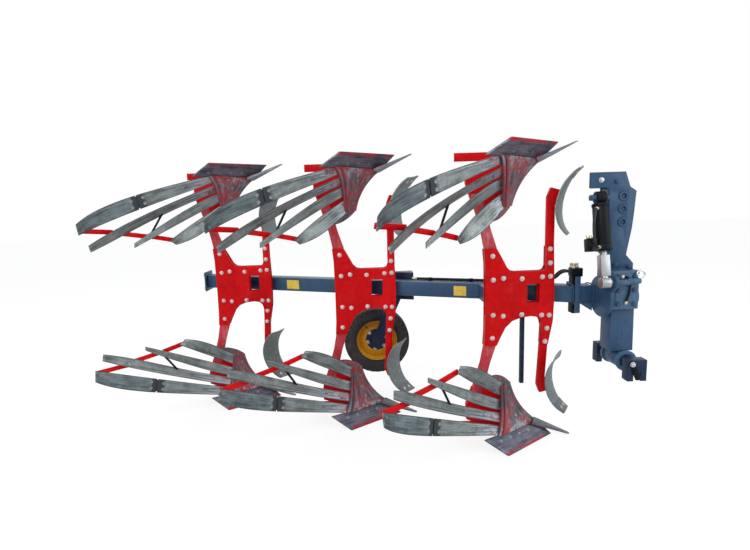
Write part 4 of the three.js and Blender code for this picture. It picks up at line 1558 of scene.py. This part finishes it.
    def ends(self) -> None:
        """Dresses the rear end plate and the clamp on the neck."""
        done(dressed("beam_end_plate", 0.003), Finish.BLUE)
        low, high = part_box("beam_end_plate")
        studs = [standing(Vector((low.x, low.y + a * (high.y - low.y), low.z + b * (high.z - low.z))),
                          Vector((-1, 0, 0)))
                 for a in self.end_bolt_shares for b in self.end_bolt_shares]
        FASTENERS.put("bolt", studs, "end_plate_bolts", Finish.ZINC)
        done(dressed("neck_clamp", 0.0025), Finish.BLACK)
        low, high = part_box("neck_clamp")
        over, inset = self.strap_over, self.strap_inset
        strap = box("clamp_strap", (low.x - over, low.y - self.strap_proud, low.z + inset),
                    (high.x + over, low.y + self.sunk, high.z - inset), 0.001)
        done(strap, Finish.BLUE)
        crown = Vector((low.x, (low.y + high.y) / 2, high.z))
        far_top = Vector((high.x, crown.y, high.z)) + Vector(self.manifold_high)
        done(box("clamp_manifold", crown + Vector(self.manifold_low), far_top, 0.003), Finish.BLACK)
        for i, place in enumerate(self.clamp_fittings):
            self.fitting(f"clamp_fitting_{i}", crown + Vector(place), UPWARD, self.fitting_long)
        for i, (start, share) in enumerate(zip(self.hose_starts, self.pipe_shares)):
            first = crown + Vector(start)
            run = [first, first + Vector(self.hose_leaves)]
            run += [self.on_top(x, share, lift) for x, lift in self.hose_run]
            done(hose(f"clamp_hose_{i}", run, self.hose), Finish.HOSE)

    def fitting(self, name: str, foot: Vector, out: Vector, long: float) -> None:
        """A hydraulic fitting: a hexagon with a sleeve.

        Args:
            name: The piece's name.
            foot: Where it is screwed in.
            out: The way that it points.
            long: Its length.
        """
        hexagon_end = foot + out * long * self.hexagon_end_share
        sleeve_start = foot + out * long * self.sleeve_start_share
        parts = [rod("nut", foot, hexagon_end, self.fitting_hexagon, 6, 0.0008),
                 rod("sleeve", sleeve_start, foot + out * long, self.fitting_sleeve, 18)]
        done(joined(parts, name), Finish.BRASSY)

    def top(self) -> None:
        """Lays the two pipes along the beam's back and clips them down."""
        for i, share in enumerate(self.pipe_shares):
            run = [self.on_top(x, share, lift) for x, lift in self.pipe_run]
            done(hose(f"beam_pipe_{i}", run, self.pipe), Finish.BLACK)
            self.fitting(f"pipe_end_{i}", run[-1], -self.ahead(), self.pipe_end_long)
        near, middle, far = self.clip_shares
        for i, x in enumerate(self.clips):
            first, last = (self.on_top(x, share, self.clip_lift) for share in (near, far))
            clip = flat_bar(f"pipe_clip_{i}", first, last, self.clip_wide, self.clip_thick,
                            self.ahead().cross(last - first), 0.003)
            done(clip, Finish.BLACK)
            crown = self.on_top(x, middle, self.clip_lift + self.clip_thick / 2)
            FASTENERS.put("flush", [standing(crown, UPWARD)], f"pipe_clip_screw_{i}", Finish.ZINC)

    def marks(self) -> None:
        """Puts a plain yellow patch at each of the two places on the beam."""
        along, thick = self.ahead(), self.patch_thick
        out = Vector((-self.slope, -1, 0)).normalized()
        for i, (x, long, tall, rise) in enumerate(self.patches):
            middle = spot(x, self.near(x), rise) + out * thick / 2
            patch = flat_bar(f"plain_patch_{i}", middle - along * long / 2,
                             middle + along * long / 2, tall, thick, out, 0.0002)
            done(patch, Finish.LABEL)


@dataclass
class Headstock:
    """The headstock: tower, turnover housing, leg and cross shaft."""

    tower_near: float = -0.105
    tower_far: float = -0.015
    cut_from: Pair = (0.501, 0.0145)
    cut_to: float = 0.545
    end_thick: float = 0.009
    end_low: float = 0.6095
    end_high: float = 0.080
    holes: tuple[Pair, ...] = ((0.68532, 0.56022), (0.68532, 0.49), (0.68532, 0.41978))
    hole: float = 0.0152
    boss: float = 0.024
    boss_foot: float = 0.026
    boss_high: float = 0.006
    top_bolts: tuple[Pair, ...] = ((0.560, 0.649),)
    side_bolts: tuple[Pair, ...] = ((0.645, 0.640), (0.655, 0.185), (0.735, 0.172))
    foot_bead: float = 0.0045
    foot_bead_proud: float = 0.002
    foot_run: tuple[Pair, ...] = (
        (0.630, 0.1568), (0.68, 0.1568), (0.73, 0.1568), (0.752, 0.1568))
    closing_bead: float = 0.0032
    closing_proud: float = 0.0008
    closing_run: tuple[Pair, ...] = ((0.6095, 0.30), (0.6088, 0.45), (0.6085, 0.60))
    housing_near: float = -0.148
    housing: tuple[float, float, float, float] = (0.623, 0.773, -0.062, 0.1547)
    cover_half: float = 0.004
    cover_inset: float = 0.016
    cover_bolt_share: float = 1.9
    pipe: float = 0.0055
    pipe_run: Shares = (
        (0.668, 0.008, 0.1247), (0.698, 0.010, 0.1187), (0.710, 0.010, 0.04635),
        (0.692, 0.008, -0.022))
    elbow: float = 0.0095
    elbow_long: float = 0.016
    ram_places: tuple[Pair, ...] = ((0.675, 0.0927), (0.733, 0.0987))
    ram_proud: float = 0.010
    ram: float = 0.0165
    ram_reach: Pair = (-0.040, 0.034)
    gland: float = 0.0125
    gland_reach: Pair = (-0.046, -0.038)
    ring_place: Point = (0.771, -0.159, 0.1347)
    ring: float = 0.0215
    ring_wire: float = 0.0050
    stem: float = 0.006
    stem_start: Point = (-0.016, 0.014, -0.004)
    stem_end: Point = (-0.016, -0.006, -0.004)
    flange: float = 0.785
    flange_screws: float = 0.058
    flange_turn: float = 0.2
    cap: float = 0.030
    cap_reach: Pair = (0.793, 0.799)
    collar: Point = (0.722, -0.136, -0.362)
    collar_far: float = 0.016
    collar_bore: float = 0.0372
    collar_round: float = 0.060
    collar_high: float = 0.009
    collar_sunk: float = 0.004
    claw_faces: Pair = (-0.250, 0.130)
    latch: tuple[Pair, ...] = (
        (-0.044, 0.030), (-0.020, 0.034), (0.014, -0.052), (0.006, -0.072), (-0.010, -0.070),
        (-0.040, 0.006))
    latch_thick: float = 0.007
    latch_bolt: Pair = (-0.031, 0.020)

    def build(self) -> None:
        """Dresses the headstock's nodes and adds its fittings."""
        x, near_thick = self.cut_from
        near = spot(x, self.tower_near + near_thick, 0.0)
        far = spot(self.cut_to, self.tower_far, 0.0)
        across = Vector((near.y - far.y, far.x - near.x, 0))
        tower = cut_off(dressed("headstock_tower", 0.0025), near, across)
        done(tower, Finish.BLUE, "headstock")
        ahead, rise = Vector((self.end_thick, 0, 0)), Vector((0, 0, self.end_low))
        corners = (near + ahead / 6, far + ahead / 6, far + ahead, near + ahead)
        end = prism("tower_end", [corner + rise for corner in corners], (0, 0, self.end_high), 0.001)
        done(end, Finish.BLUE, "headstock")
        for node, bevel, segments, finish, body in (
                ("turnover_housing", 0.007, 3, Finish.PALE_BLUE, "headstock"),
                ("headstock_leg", 0.004, 2, Finish.BLUE, "headstock"),
                ("cross_shaft", 0.008, 3, Finish.NAVY, "headstock"),
                ("turnover_shaft", 0.003, 2, Finish.BLUE, "frame")):
            done(dressed(node, bevel, segments), finish, body)
        self.tower_parts()
        self.cover_parts()
        self.ram_parts()
        self.shaft_parts()
        self.foot_parts()

    def tower_parts(self) -> None:
        """Adds the hole bosses, bolts and seams of the tower."""
        faces = ((self.tower_near, -1), (self.tower_far, 1))
        rings = []
        for x, z in self.holes:
            for face, out in faces:
                high = self.boss_high * out
                outline = ((self.hole, 0), (self.hole, high), (self.boss, high), (self.boss_foot, 0))
                rings.append(spun("ring", outline, spot(x, face, z), 32, 0.0008))
        done(joined(rings, "link_hole_bosses"), Finish.BLUE, "headstock")
        for name, finish, places in (("tower", Finish.ZINC, self.top_bolts),
                                     ("tower_painted", Finish.BLUE, self.side_bolts)):
            for kind, face, out in (("bolt", self.tower_near, TO_NEAR),
                                    ("nut", self.tower_far, TO_FAR)):
                moves = [standing(spot(x, face, z), out) for x, z in places]
                FASTENERS.put(kind, moves, f"{name}_{kind}s", finish, "headstock")
        for i, (face, out) in enumerate(faces):
            for name, run, proud, radius in (
                    ("tower_bead", self.foot_run, self.foot_bead_proud, self.foot_bead),
                    ("closing_bead", self.closing_run, self.closing_proud, self.closing_bead)):
                bead = hose(f"{name}_{i}", [spot(x, face + proud * out, z) for x, z in run], radius)
                done(bead, Finish.BLUE, "headstock")

    def cover_parts(self) -> None:
        """Adds the housing's side cover, its bolts, pipe and elbows."""
        rear, front, low, high = self.housing
        inset, half = self.cover_inset, self.cover_half
        cover = box("housing_cover", spot(rear + inset, self.housing_near - half, low + inset),
                    spot(front - inset, self.housing_near + half, high - inset), 0.003)
        done(cover, Finish.PALE_BLUE, "headstock")
        face, corner = self.housing_near - half, inset * self.cover_bolt_share
        studs = [standing(spot(x, face, z), TO_NEAR) for x in (rear + corner, front - corner)
                 for z in (low + corner, (low + high) / 2, high - corner)]
        FASTENERS.put("bolt", studs, "housing_bolts", Finish.BLUE, "headstock")
        run = [spot(x, face - proud, z) for x, proud, z in self.pipe_run]
        done(hose("housing_pipe", run, self.pipe), Finish.BLACK, "headstock")
        for i, (x, _, z) in enumerate((self.pipe_run[0], self.pipe_run[-1])):
            elbow = rod(f"housing_elbow_{i}", spot(x, face, z), spot(x, face - self.elbow_long, z),
                        self.elbow, 6, 0.0008)
            done(elbow, Finish.BRASSY, "headstock")

    def ram_parts(self) -> None:
        """Adds the two ram barrels beside the cover and the lifting ring over them."""
        y = self.housing_near - self.cover_half - self.ram_proud
        for i, (x, z) in enumerate(self.ram_places):
            parts = [rod(name, spot(x + first, y, z), spot(x + last, y, z), radius, sides, bevel)
                     for name, (first, last), radius, sides, bevel in (
                         ("barrel", self.ram_reach, self.ram, 28, 0.003),
                         ("gland", self.gland_reach, self.gland, 6, 0.0008))]
            done(joined(parts, f"housing_ram_{i}"), Finish.PALE_BLUE, "headstock")
        centre, wire = spot(*self.ring_place), self.ring_wire
        outline = [(self.ring + wire * out, wire * along) for out, along in round_about(10)]
        done(spun("lifting_ring", outline, centre, 36), Finish.CHROME, "headstock")
        stem = rod("lifting_stem", centre + Vector(self.stem_start),
                   centre + Vector(self.stem_end), self.stem, 18)
        done(stem, Finish.CHROME, "headstock")

    def shaft_parts(self) -> None:
        """Adds the screws and the cap on the front of the turnover shaft."""
        face = spot(self.flange, AXIS_SIDE, 0.0)
        studs = [standing(face + Vector((0, y, z)) * self.flange_screws, Vector((1, 0, 0)))
                 for y, z in round_about(8, self.flange_turn)]
        FASTENERS.put("flush", studs, "shaft_flange_screws", Finish.ZINC)
        first, last = (spot(x, AXIS_SIDE, 0.0) for x in self.cap_reach)
        done(rod("shaft_cap", first, last, self.cap), Finish.ZINC)

    def foot_parts(self) -> None:
        """Adds the leg's collar rings, the claws' latches and their bolts."""
        x, y, z = self.collar
        bore, edge = self.collar_bore, self.collar_round
        for i, (place, out) in enumerate(((y, -1), (self.collar_far, 1))):
            high, low = self.collar_high * out, -self.collar_sunk * out
            outline = ((bore, 0), (bore, high), (edge, high), (edge, low), (bore, low))
            ring = spun(f"collar_ring_{i}", outline, spot(x, place, z), 40, 0.0012)
            done(ring, Finish.PALE_BLUE, "headstock")
        for i, (face, out) in enumerate(zip(self.claw_faces, (-1, 1))):
            thick = self.latch_thick * out
            plate = prism(f"claw_latch_{i}", [spot(x + a, face, z + b) for a, b in self.latch],
                          (0, thick, 0), 0.0015)
            done(plate, Finish.BLACK, "headstock")
            a, b = self.latch_bolt
            stud = standing(spot(x + a, face + thick, z + b), Vector((0, out, 0)))
            FASTENERS.put("bolt", [stud], f"claw_latch_bolt_{i}", Finish.ZINC, "headstock")


@dataclass
class TurnoverCylinder:
    """The cylinder that turns the frame over, with its valve block and hoses."""

    slab: float = 0.556
    pivot: Pair = (-0.105, 0.555)
    crank: Pair = (-0.190, 0.100)
    bands: Shares = ((0.034, 0.052, 0.0445), (0.256, 0.288, 0.0455))
    fork: Pair = (0.312, 0.428)
    fork_wide: float = 0.052
    fork_thick: float = 0.046
    port_reaches: Pair = (0.065, 0.274)
    port_foot: Pair = (-0.030, 0.030)
    port_tip: Pair = (-0.046, 0.042)
    port: float = 0.0105
    hose: float = 0.0075
    hose_reaches: Pair = (0.242, 0.272)
    hose_end: Pair = (-0.065, 0.031)
    hose_bends: Shares = ((-0.020, -0.030, 0.020), (-0.020, -0.030, -0.010))
    hose_leaves: Point = (0, -0.006, 0)
    valve: tuple[float, Pair] = (0.257, (-0.065, 0.0))
    valve_high: float = 0.035
    cap: float = 0.009
    cap_high: float = 0.018
    cap_aside: Pair = (-0.013, 0.013)

    def along(self, reach: float, out: Pair = (0.0, 0.0)) -> Vector:
        """A place on the cylinder's line.

        Args:
            reach: How far from the top pin.
            out: How far aside, along X and square to the line.

        Returns:
            The place in the row frame.
        """
        line = Vector((0, self.crank[0] - self.pivot[0], self.crank[1] - self.pivot[1]))
        line.normalize()
        aside = Vector((0, line.z, -line.y)) * out[1]
        return spot(self.slab, *self.pivot) + line * reach + Vector((out[0], 0, 0)) + aside

    def build(self) -> None:
        """Dresses the cylinder and adds its bands, fork, ports, hoses and caps."""
        done(dressed("cylinder_barrel", 0.0018), Finish.BLACK, "barrel")
        done(dressed("valve_block", 0.003), Finish.BLACK, "barrel")
        done(dressed("cylinder_rod", 0.0015), Finish.ROD, "rod")
        for i, (first, last, radius) in enumerate(self.bands):
            band = rod(f"barrel_band_{i}", self.along(first), self.along(last), radius, 40, 0.0025)
            done(band, Finish.BLACK, "barrel")
        first, last = self.fork
        fork = flat_bar("rod_fork", self.along(first), self.along(last), self.fork_wide,
                        self.fork_thick, TO_FAR, 0.005)
        done(fork, Finish.ROD, "rod")
        for i, (reach, end_reach) in enumerate(zip(self.port_reaches, self.hose_reaches)):
            tip, end = self.along(reach, self.port_tip), self.along(end_reach, self.hose_end)
            port = rod(f"barrel_port_{i}", self.along(reach, self.port_foot), tip, self.port, 6,
                       0.0008)
            done(port, Finish.BRASSY, "barrel")
            bend = (tip + end) / 2 + Vector(self.hose_bends[i])
            run = [tip, bend, end + Vector(self.hose_leaves), end]
            done(hose(f"barrel_hose_{i}", run, self.hose), Finish.HOSE, "barrel")
        up = (self.along(0) - self.along(1)).normalized()
        for i, out in enumerate(self.cap_aside):
            foot = self.along(*self.valve) + Vector((out, 0, 0)) + up * self.valve_high
            cap = rod(f"valve_cap_{i}", foot, foot + up * self.cap_high, self.cap, 6, 0.0008)
            done(cap, Finish.BRASSY, "barrel")


@dataclass
class DepthWheel:
    """The depth wheel: bracket, arm, rim and ribbed tyre."""

    centre: Point = (-0.662, 0.930, -0.490)
    rim: float = 0.160
    rim_half: float = 0.059
    rim_wall: float = 0.004
    rim_inner_share: float = 0.985
    rim_steps: tuple[Pair, ...] = (
        (0.0155, 0.0), (0.0125, 0.005), (-0.002, 0.009), (-0.004, 0.030), (-0.016, 0.040))
    web: tuple[Pair, ...] = (
        (0.056, -0.012), (0.092, -0.014), (0.112, -0.004), (0.128, 0.004), (0.1435, 0.006),
        (0.1435, 0.011), (0.126, 0.010), (0.108, 0.002), (0.090, -0.008), (0.056, -0.006))
    hub: tuple[Pair, ...] = (
        (0.0212, -0.052), (0.036, -0.052), (0.040, -0.034), (0.040, -0.018), (0.086, -0.016),
        (0.086, -0.004), (0.046, -0.002), (0.046, 0.030), (0.041, 0.052), (0.0212, 0.052))
    hub_cap: tuple[Pair, ...] = ((0.0, 0.053), (0.030, 0.053), (0.034, 0.040), (0.0, 0.040))
    bolt_ring: float = 0.074
    bolt_turn: float = 0.3
    bolt_faces: Pair = (-0.016, -0.002)
    valve: float = 0.0042
    valve_turn: float = 2.2
    valve_inset: float = 0.020
    valve_long: float = 0.012
    valve_near: float = 0.030
    tyre: float = 0.255
    tyre_half: float = 0.079
    ribs: tuple[float, ...] = (-0.62, -0.22, 0.22, 0.62)
    rib_half_share: float = 0.155
    rib_flat_share: float = 0.82
    rib_round: float = 0.001
    groove: float = 0.013
    shoulder: tuple[Pair, ...] = (
        (0.86, -0.020), (0.955, -0.034), (0.985, -0.048), (1.0, -0.060), (0.985, -0.066))
    bead: tuple[Pair, ...] = ((0.965, 0.0225), (0.90, 0.0125), (0.84, 0.0045), (0.73, -0.0005))
    lugs: int = 36
    lug_half: float = 0.005
    lug_shares: Pair = (0.70, 0.955)
    lug_depths: Pair = (0.026, 0.0045)

    def build(self) -> None:
        """Dresses the bracket and the arm, and spins the rim and the tyre."""
        done(dressed("wheel_bracket", 0.001), Finish.NAVY)
        done(dressed("wheel_arm", 0.003), Finish.NAVY, "wheel_arm")
        middle = spot(*self.centre)
        self.build_rim(middle)
        self.build_tyre(middle)

    def build_rim(self, middle: Vector) -> None:
        """Spins the rim and bolts it to its hub.

        Args:
            middle: The wheel's centre.
        """
        half = self.rim_half
        near = [(self.rim + rise, inset - half) for rise, inset in self.rim_steps]
        outer = near + [(radius, -along) for radius, along in reversed(near)]
        inner = [(radius - self.rim_wall, along * self.rim_inner_share)
                 for radius, along in reversed(outer)]
        shell = spun("rim.shell", outer + inner, middle, 72, 0.0012)
        disc = spun("rim.disc", self.web, middle, 72, 0.0008)
        hub = spun("rim.hub", self.hub, middle, 56, 0.0015)
        whole = done(joined([shell, disc], "rim.wheel"), Finish.YELLOW, "wheel")
        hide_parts("wheel_rim")
        done(hub, Finish.NAVY, "wheel")
        for name, face, out in zip(("near", "far"), self.bolt_faces, (TO_NEAR, TO_FAR)):
            studs = [standing(middle + Vector((self.bolt_ring * x, face, self.bolt_ring * z)), out)
                     for x, z in round_about(6, self.bolt_turn)]
            FASTENERS.put("nut", studs, f"wheel_nuts_{name}", Finish.ZINC, "wheel")
        cap = spun("hub_cap", self.hub_cap, middle, 40, 0.002)
        done(merged(cap), Finish.NAVY, "wheel")
        slope = Vector((math.cos(self.valve_turn), 0, math.sin(self.valve_turn)))
        lean = TO_NEAR * self.valve_near
        foot = middle + slope * (self.rim - self.valve_inset) + lean
        valve = rod("tyre_valve", foot, foot - slope * self.valve_long + lean, self.valve, 14)
        done(valve, Finish.BLACK, "wheel")

    def build_tyre(self, middle: Vector) -> None:
        """Spins the tyre with its ribs and puts lugs on its shoulders.

        Args:
            middle: The wheel's centre.
        """
        top, half, wide = self.tyre, self.tyre_half, self.rib_half_share
        flat, low, crown = wide * self.rib_flat_share, top - self.groove, top - self.rib_round
        ring = []
        for at in self.ribs:
            ring += [(low, (at - wide) * half), (crown, (at - flat) * half), (top, at * half),
                     (crown, (at + flat) * half), (low, (at + wide) * half)]
        side = [(top + rise, share * half) for share, rise in self.shoulder]
        side += [(self.rim + rise, share * half) for share, rise in self.bead]
        ring += side + [(radius, -along) for radius, along in reversed(side)]
        tyre = done(spun("tyre.ribbed", ring, middle, 96, 0.0012), Finish.TYRE, "wheel")
        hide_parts("wheel_tyre")
        (low, high), (deep, proud) = self.lug_shares, self.lug_depths
        lug = box("lug", (-self.lug_half, half * low, top - deep),
                  (self.lug_half, half * high, top - proud))
        moves = []
        for i in range(self.lugs):
            turn = Matrix.Rotation(i * math.tau / self.lugs, 4, "Y")
            moves += [Matrix.Translation(middle) @ turn @ Matrix.Diagonal((1.0, way, 1.0, 1.0))
                      for way in (1.0, -1.0)]
        done(spread(lug, moves, "tyre_lugs"), Finish.TYRE, "wheel")
        bpy.data.objects.remove(lug)


@dataclass
class ParkingStand:
    """The parking stand and its socket."""

    holes: int = 9
    first_hole: float = 0.050
    hole_step: float = 0.060
    touch: float = 0.0002
    rim: tuple[Pair, ...] = (
        (0.0055, -0.0012), (0.0078, 0.0), (0.0078, 0.0006), (0.0055, 0.0006))

    def build(self) -> None:
        """Dresses the stand and its socket, and puts a rim round each adjusting hole."""
        done(dressed("stand_leg", 0.0018), Finish.NAVY, "stand")
        done(dressed("stand_socket", 0.0018), Finish.BLUE)
        low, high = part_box("stand_leg")
        first = Vector(((low.x + high.x) / 2, low.y - self.touch, low.z + self.first_hole))
        rims = [spun("hole", self.rim, first + UPWARD * (i * self.hole_step), 20)
                for i in range(self.holes)]
        done(joined(rims, "stand_hole_rims"), Finish.BLACK, "stand")


@dataclass
class Studio:
    """The floor, the lamps, the sky and the camera of the photograph."""

    eye: Point = (-0.730, -2.557, 0.527)
    right: Point = (0.99918941, -0.02462067, -0.03184881)
    ahead: Point = (0.01983635, 0.98957246, -0.14266348)
    focus_px: float = 450.0
    picture_px: float = 750.0
    sensor: float = 36.0
    clip: Pair = (0.05, 200.0)
    lamps: tuple[tuple[str, Point, float, float], ...] = (
        ("key", (-3.4, -5.2, 5.6), 4.5, 210.0), ("fill", (5.6, -3.6, 3.0), 4.0, 95.0),
        ("back", (0.5, 5.8, 4.6), 4.5, 70.0))
    aim: Point = (0, 0, 0.8)
    sky: float = 0.62
    sky_colour: Point = (0.96, 0.98, 1.0)
    floor_side: float = 60.0
    floor_low: float = -0.0015
    floor_grey: float = 0.86
    floor_glow: float = 1.14
    floor_glow_share: float = 0.72

    def build(self) -> None:
        """Makes the studio."""
        self.camera()
        self.floor()
        self.world()
        for name, place, size, power in self.lamps:
            self.lamp(name, place, size, power)

    def camera(self) -> None:
        """Sets the camera where the photograph was taken."""
        data = bpy.data.cameras.new("camera")
        data.sensor_fit = "HORIZONTAL"
        data.sensor_width = self.sensor
        data.lens = self.focus_px / self.picture_px * self.sensor
        data.clip_start, data.clip_end = self.clip
        camera = bpy.data.objects.new("camera", data)
        bpy.context.scene.collection.objects.link(camera)
        ahead, right = Vector(self.ahead).normalized(), Vector(self.right).normalized()
        turn = Matrix((right, right.cross(ahead), -ahead)).transposed().to_4x4()
        camera.matrix_world = Matrix.Translation(spot(*self.eye)) @ turn
        bpy.context.scene.camera = camera

    def lamp(self, name: str, place: Point, size: float, power: float) -> None:
        """Adds a soft lamp that faces the plough.

        Args:
            name: The lamp's name.
            place: Where it stands.
            size: Its side.
            power: Its power.
        """
        data = bpy.data.lights.new(name, "AREA")
        data.size, data.energy = size, power
        lamp = bpy.data.objects.new(name, data)
        bpy.context.scene.collection.objects.link(lamp)
        turn = (Vector(self.aim) - Vector(place)).to_track_quat("-Z", "Y").to_matrix().to_4x4()
        lamp.matrix_world = Matrix.Translation(place) @ turn

    def floor(self) -> None:
        """Lays the pale floor, which keeps the plough's shadow."""
        plane = added(bpy.ops.mesh.primitive_plane_add, size=self.floor_side,
                      location=(0, 0, self.floor_low))
        floor = settled(plane, "floor")
        tree = Tree("floor")
        tree.dress(Base_Color=(self.floor_grey,) * 3, Roughness=0.9)
        glow = tree.nodes.new("ShaderNodeEmission")
        glow.inputs["Strength"].default_value = self.floor_glow
        seen = tree.node("ShaderNodeLightPath", {}, "Is Camera Ray") * self.floor_glow_share
        mix = tree.nodes.new("ShaderNodeMixShader")
        links = tree.material.node_tree.links
        links.new(seen.socket, mix.inputs[0])
        links.new(tree.shader.outputs[0], mix.inputs[1])
        links.new(glow.outputs[0], mix.inputs[2])
        links.new(mix.outputs[0], tree.nodes["Material Output"].inputs["Surface"])
        floor.data.materials.append(tree.material)

    def world(self) -> None:
        """Lights the plough evenly, and shows white behind it and in what it mirrors."""
        world = bpy.data.worlds.new("studio")
        bpy.context.scene.world = world
        world.use_nodes = True
        nodes, links = world.node_tree.nodes, world.node_tree.links
        light, white = nodes["Background"], nodes.new("ShaderNodeBackground")
        for shader, strength, colour in ((light, self.sky, self.sky_colour),
                                         (white, 1.0, (1.0, 1.0, 1.0))):
            shader.inputs["Strength"].default_value = strength
            shader.inputs["Color"].default_value = (*colour, 1.0)
        path = nodes.new("ShaderNodeLightPath")
        mix = nodes.new("ShaderNodeMixShader")
        either = nodes.new("ShaderNodeMath")
        either.operation, either.use_clamp = "ADD", True
        links.new(path.outputs["Is Camera Ray"], either.inputs[0])
        links.new(path.outputs["Is Glossy Ray"], either.inputs[1])
        links.new(either.outputs[0], mix.inputs[0])
        links.new(light.outputs[0], mix.inputs[1])
        links.new(white.outputs[0], mix.inputs[2])
        links.new(mix.outputs[0], nodes["World Output"].inputs["Surface"])


def main() -> None:
    """Builds the plough, sub-assembly by sub-assembly."""
    logging.basicConfig(level=logging.INFO, format="%(name)s: %(message)s")
    bpy.context.scene.view_settings.view_transform = "Standard"
    Studio().build()
    FASTENERS.build()
    plates, skimmer = BodyPlates(), Skimmer()
    for unit in Unit:
        plates.build(unit)
    SlattedBody().build()
    for side in Side:
        skimmer.build(side)
    for assembly in (MainBeam(), Headstock(), TurnoverCylinder(), DepthWheel(), ParkingStand()):
        assembly.build()
    FASTENERS.away()


if __name__ == "__main__":
    main()
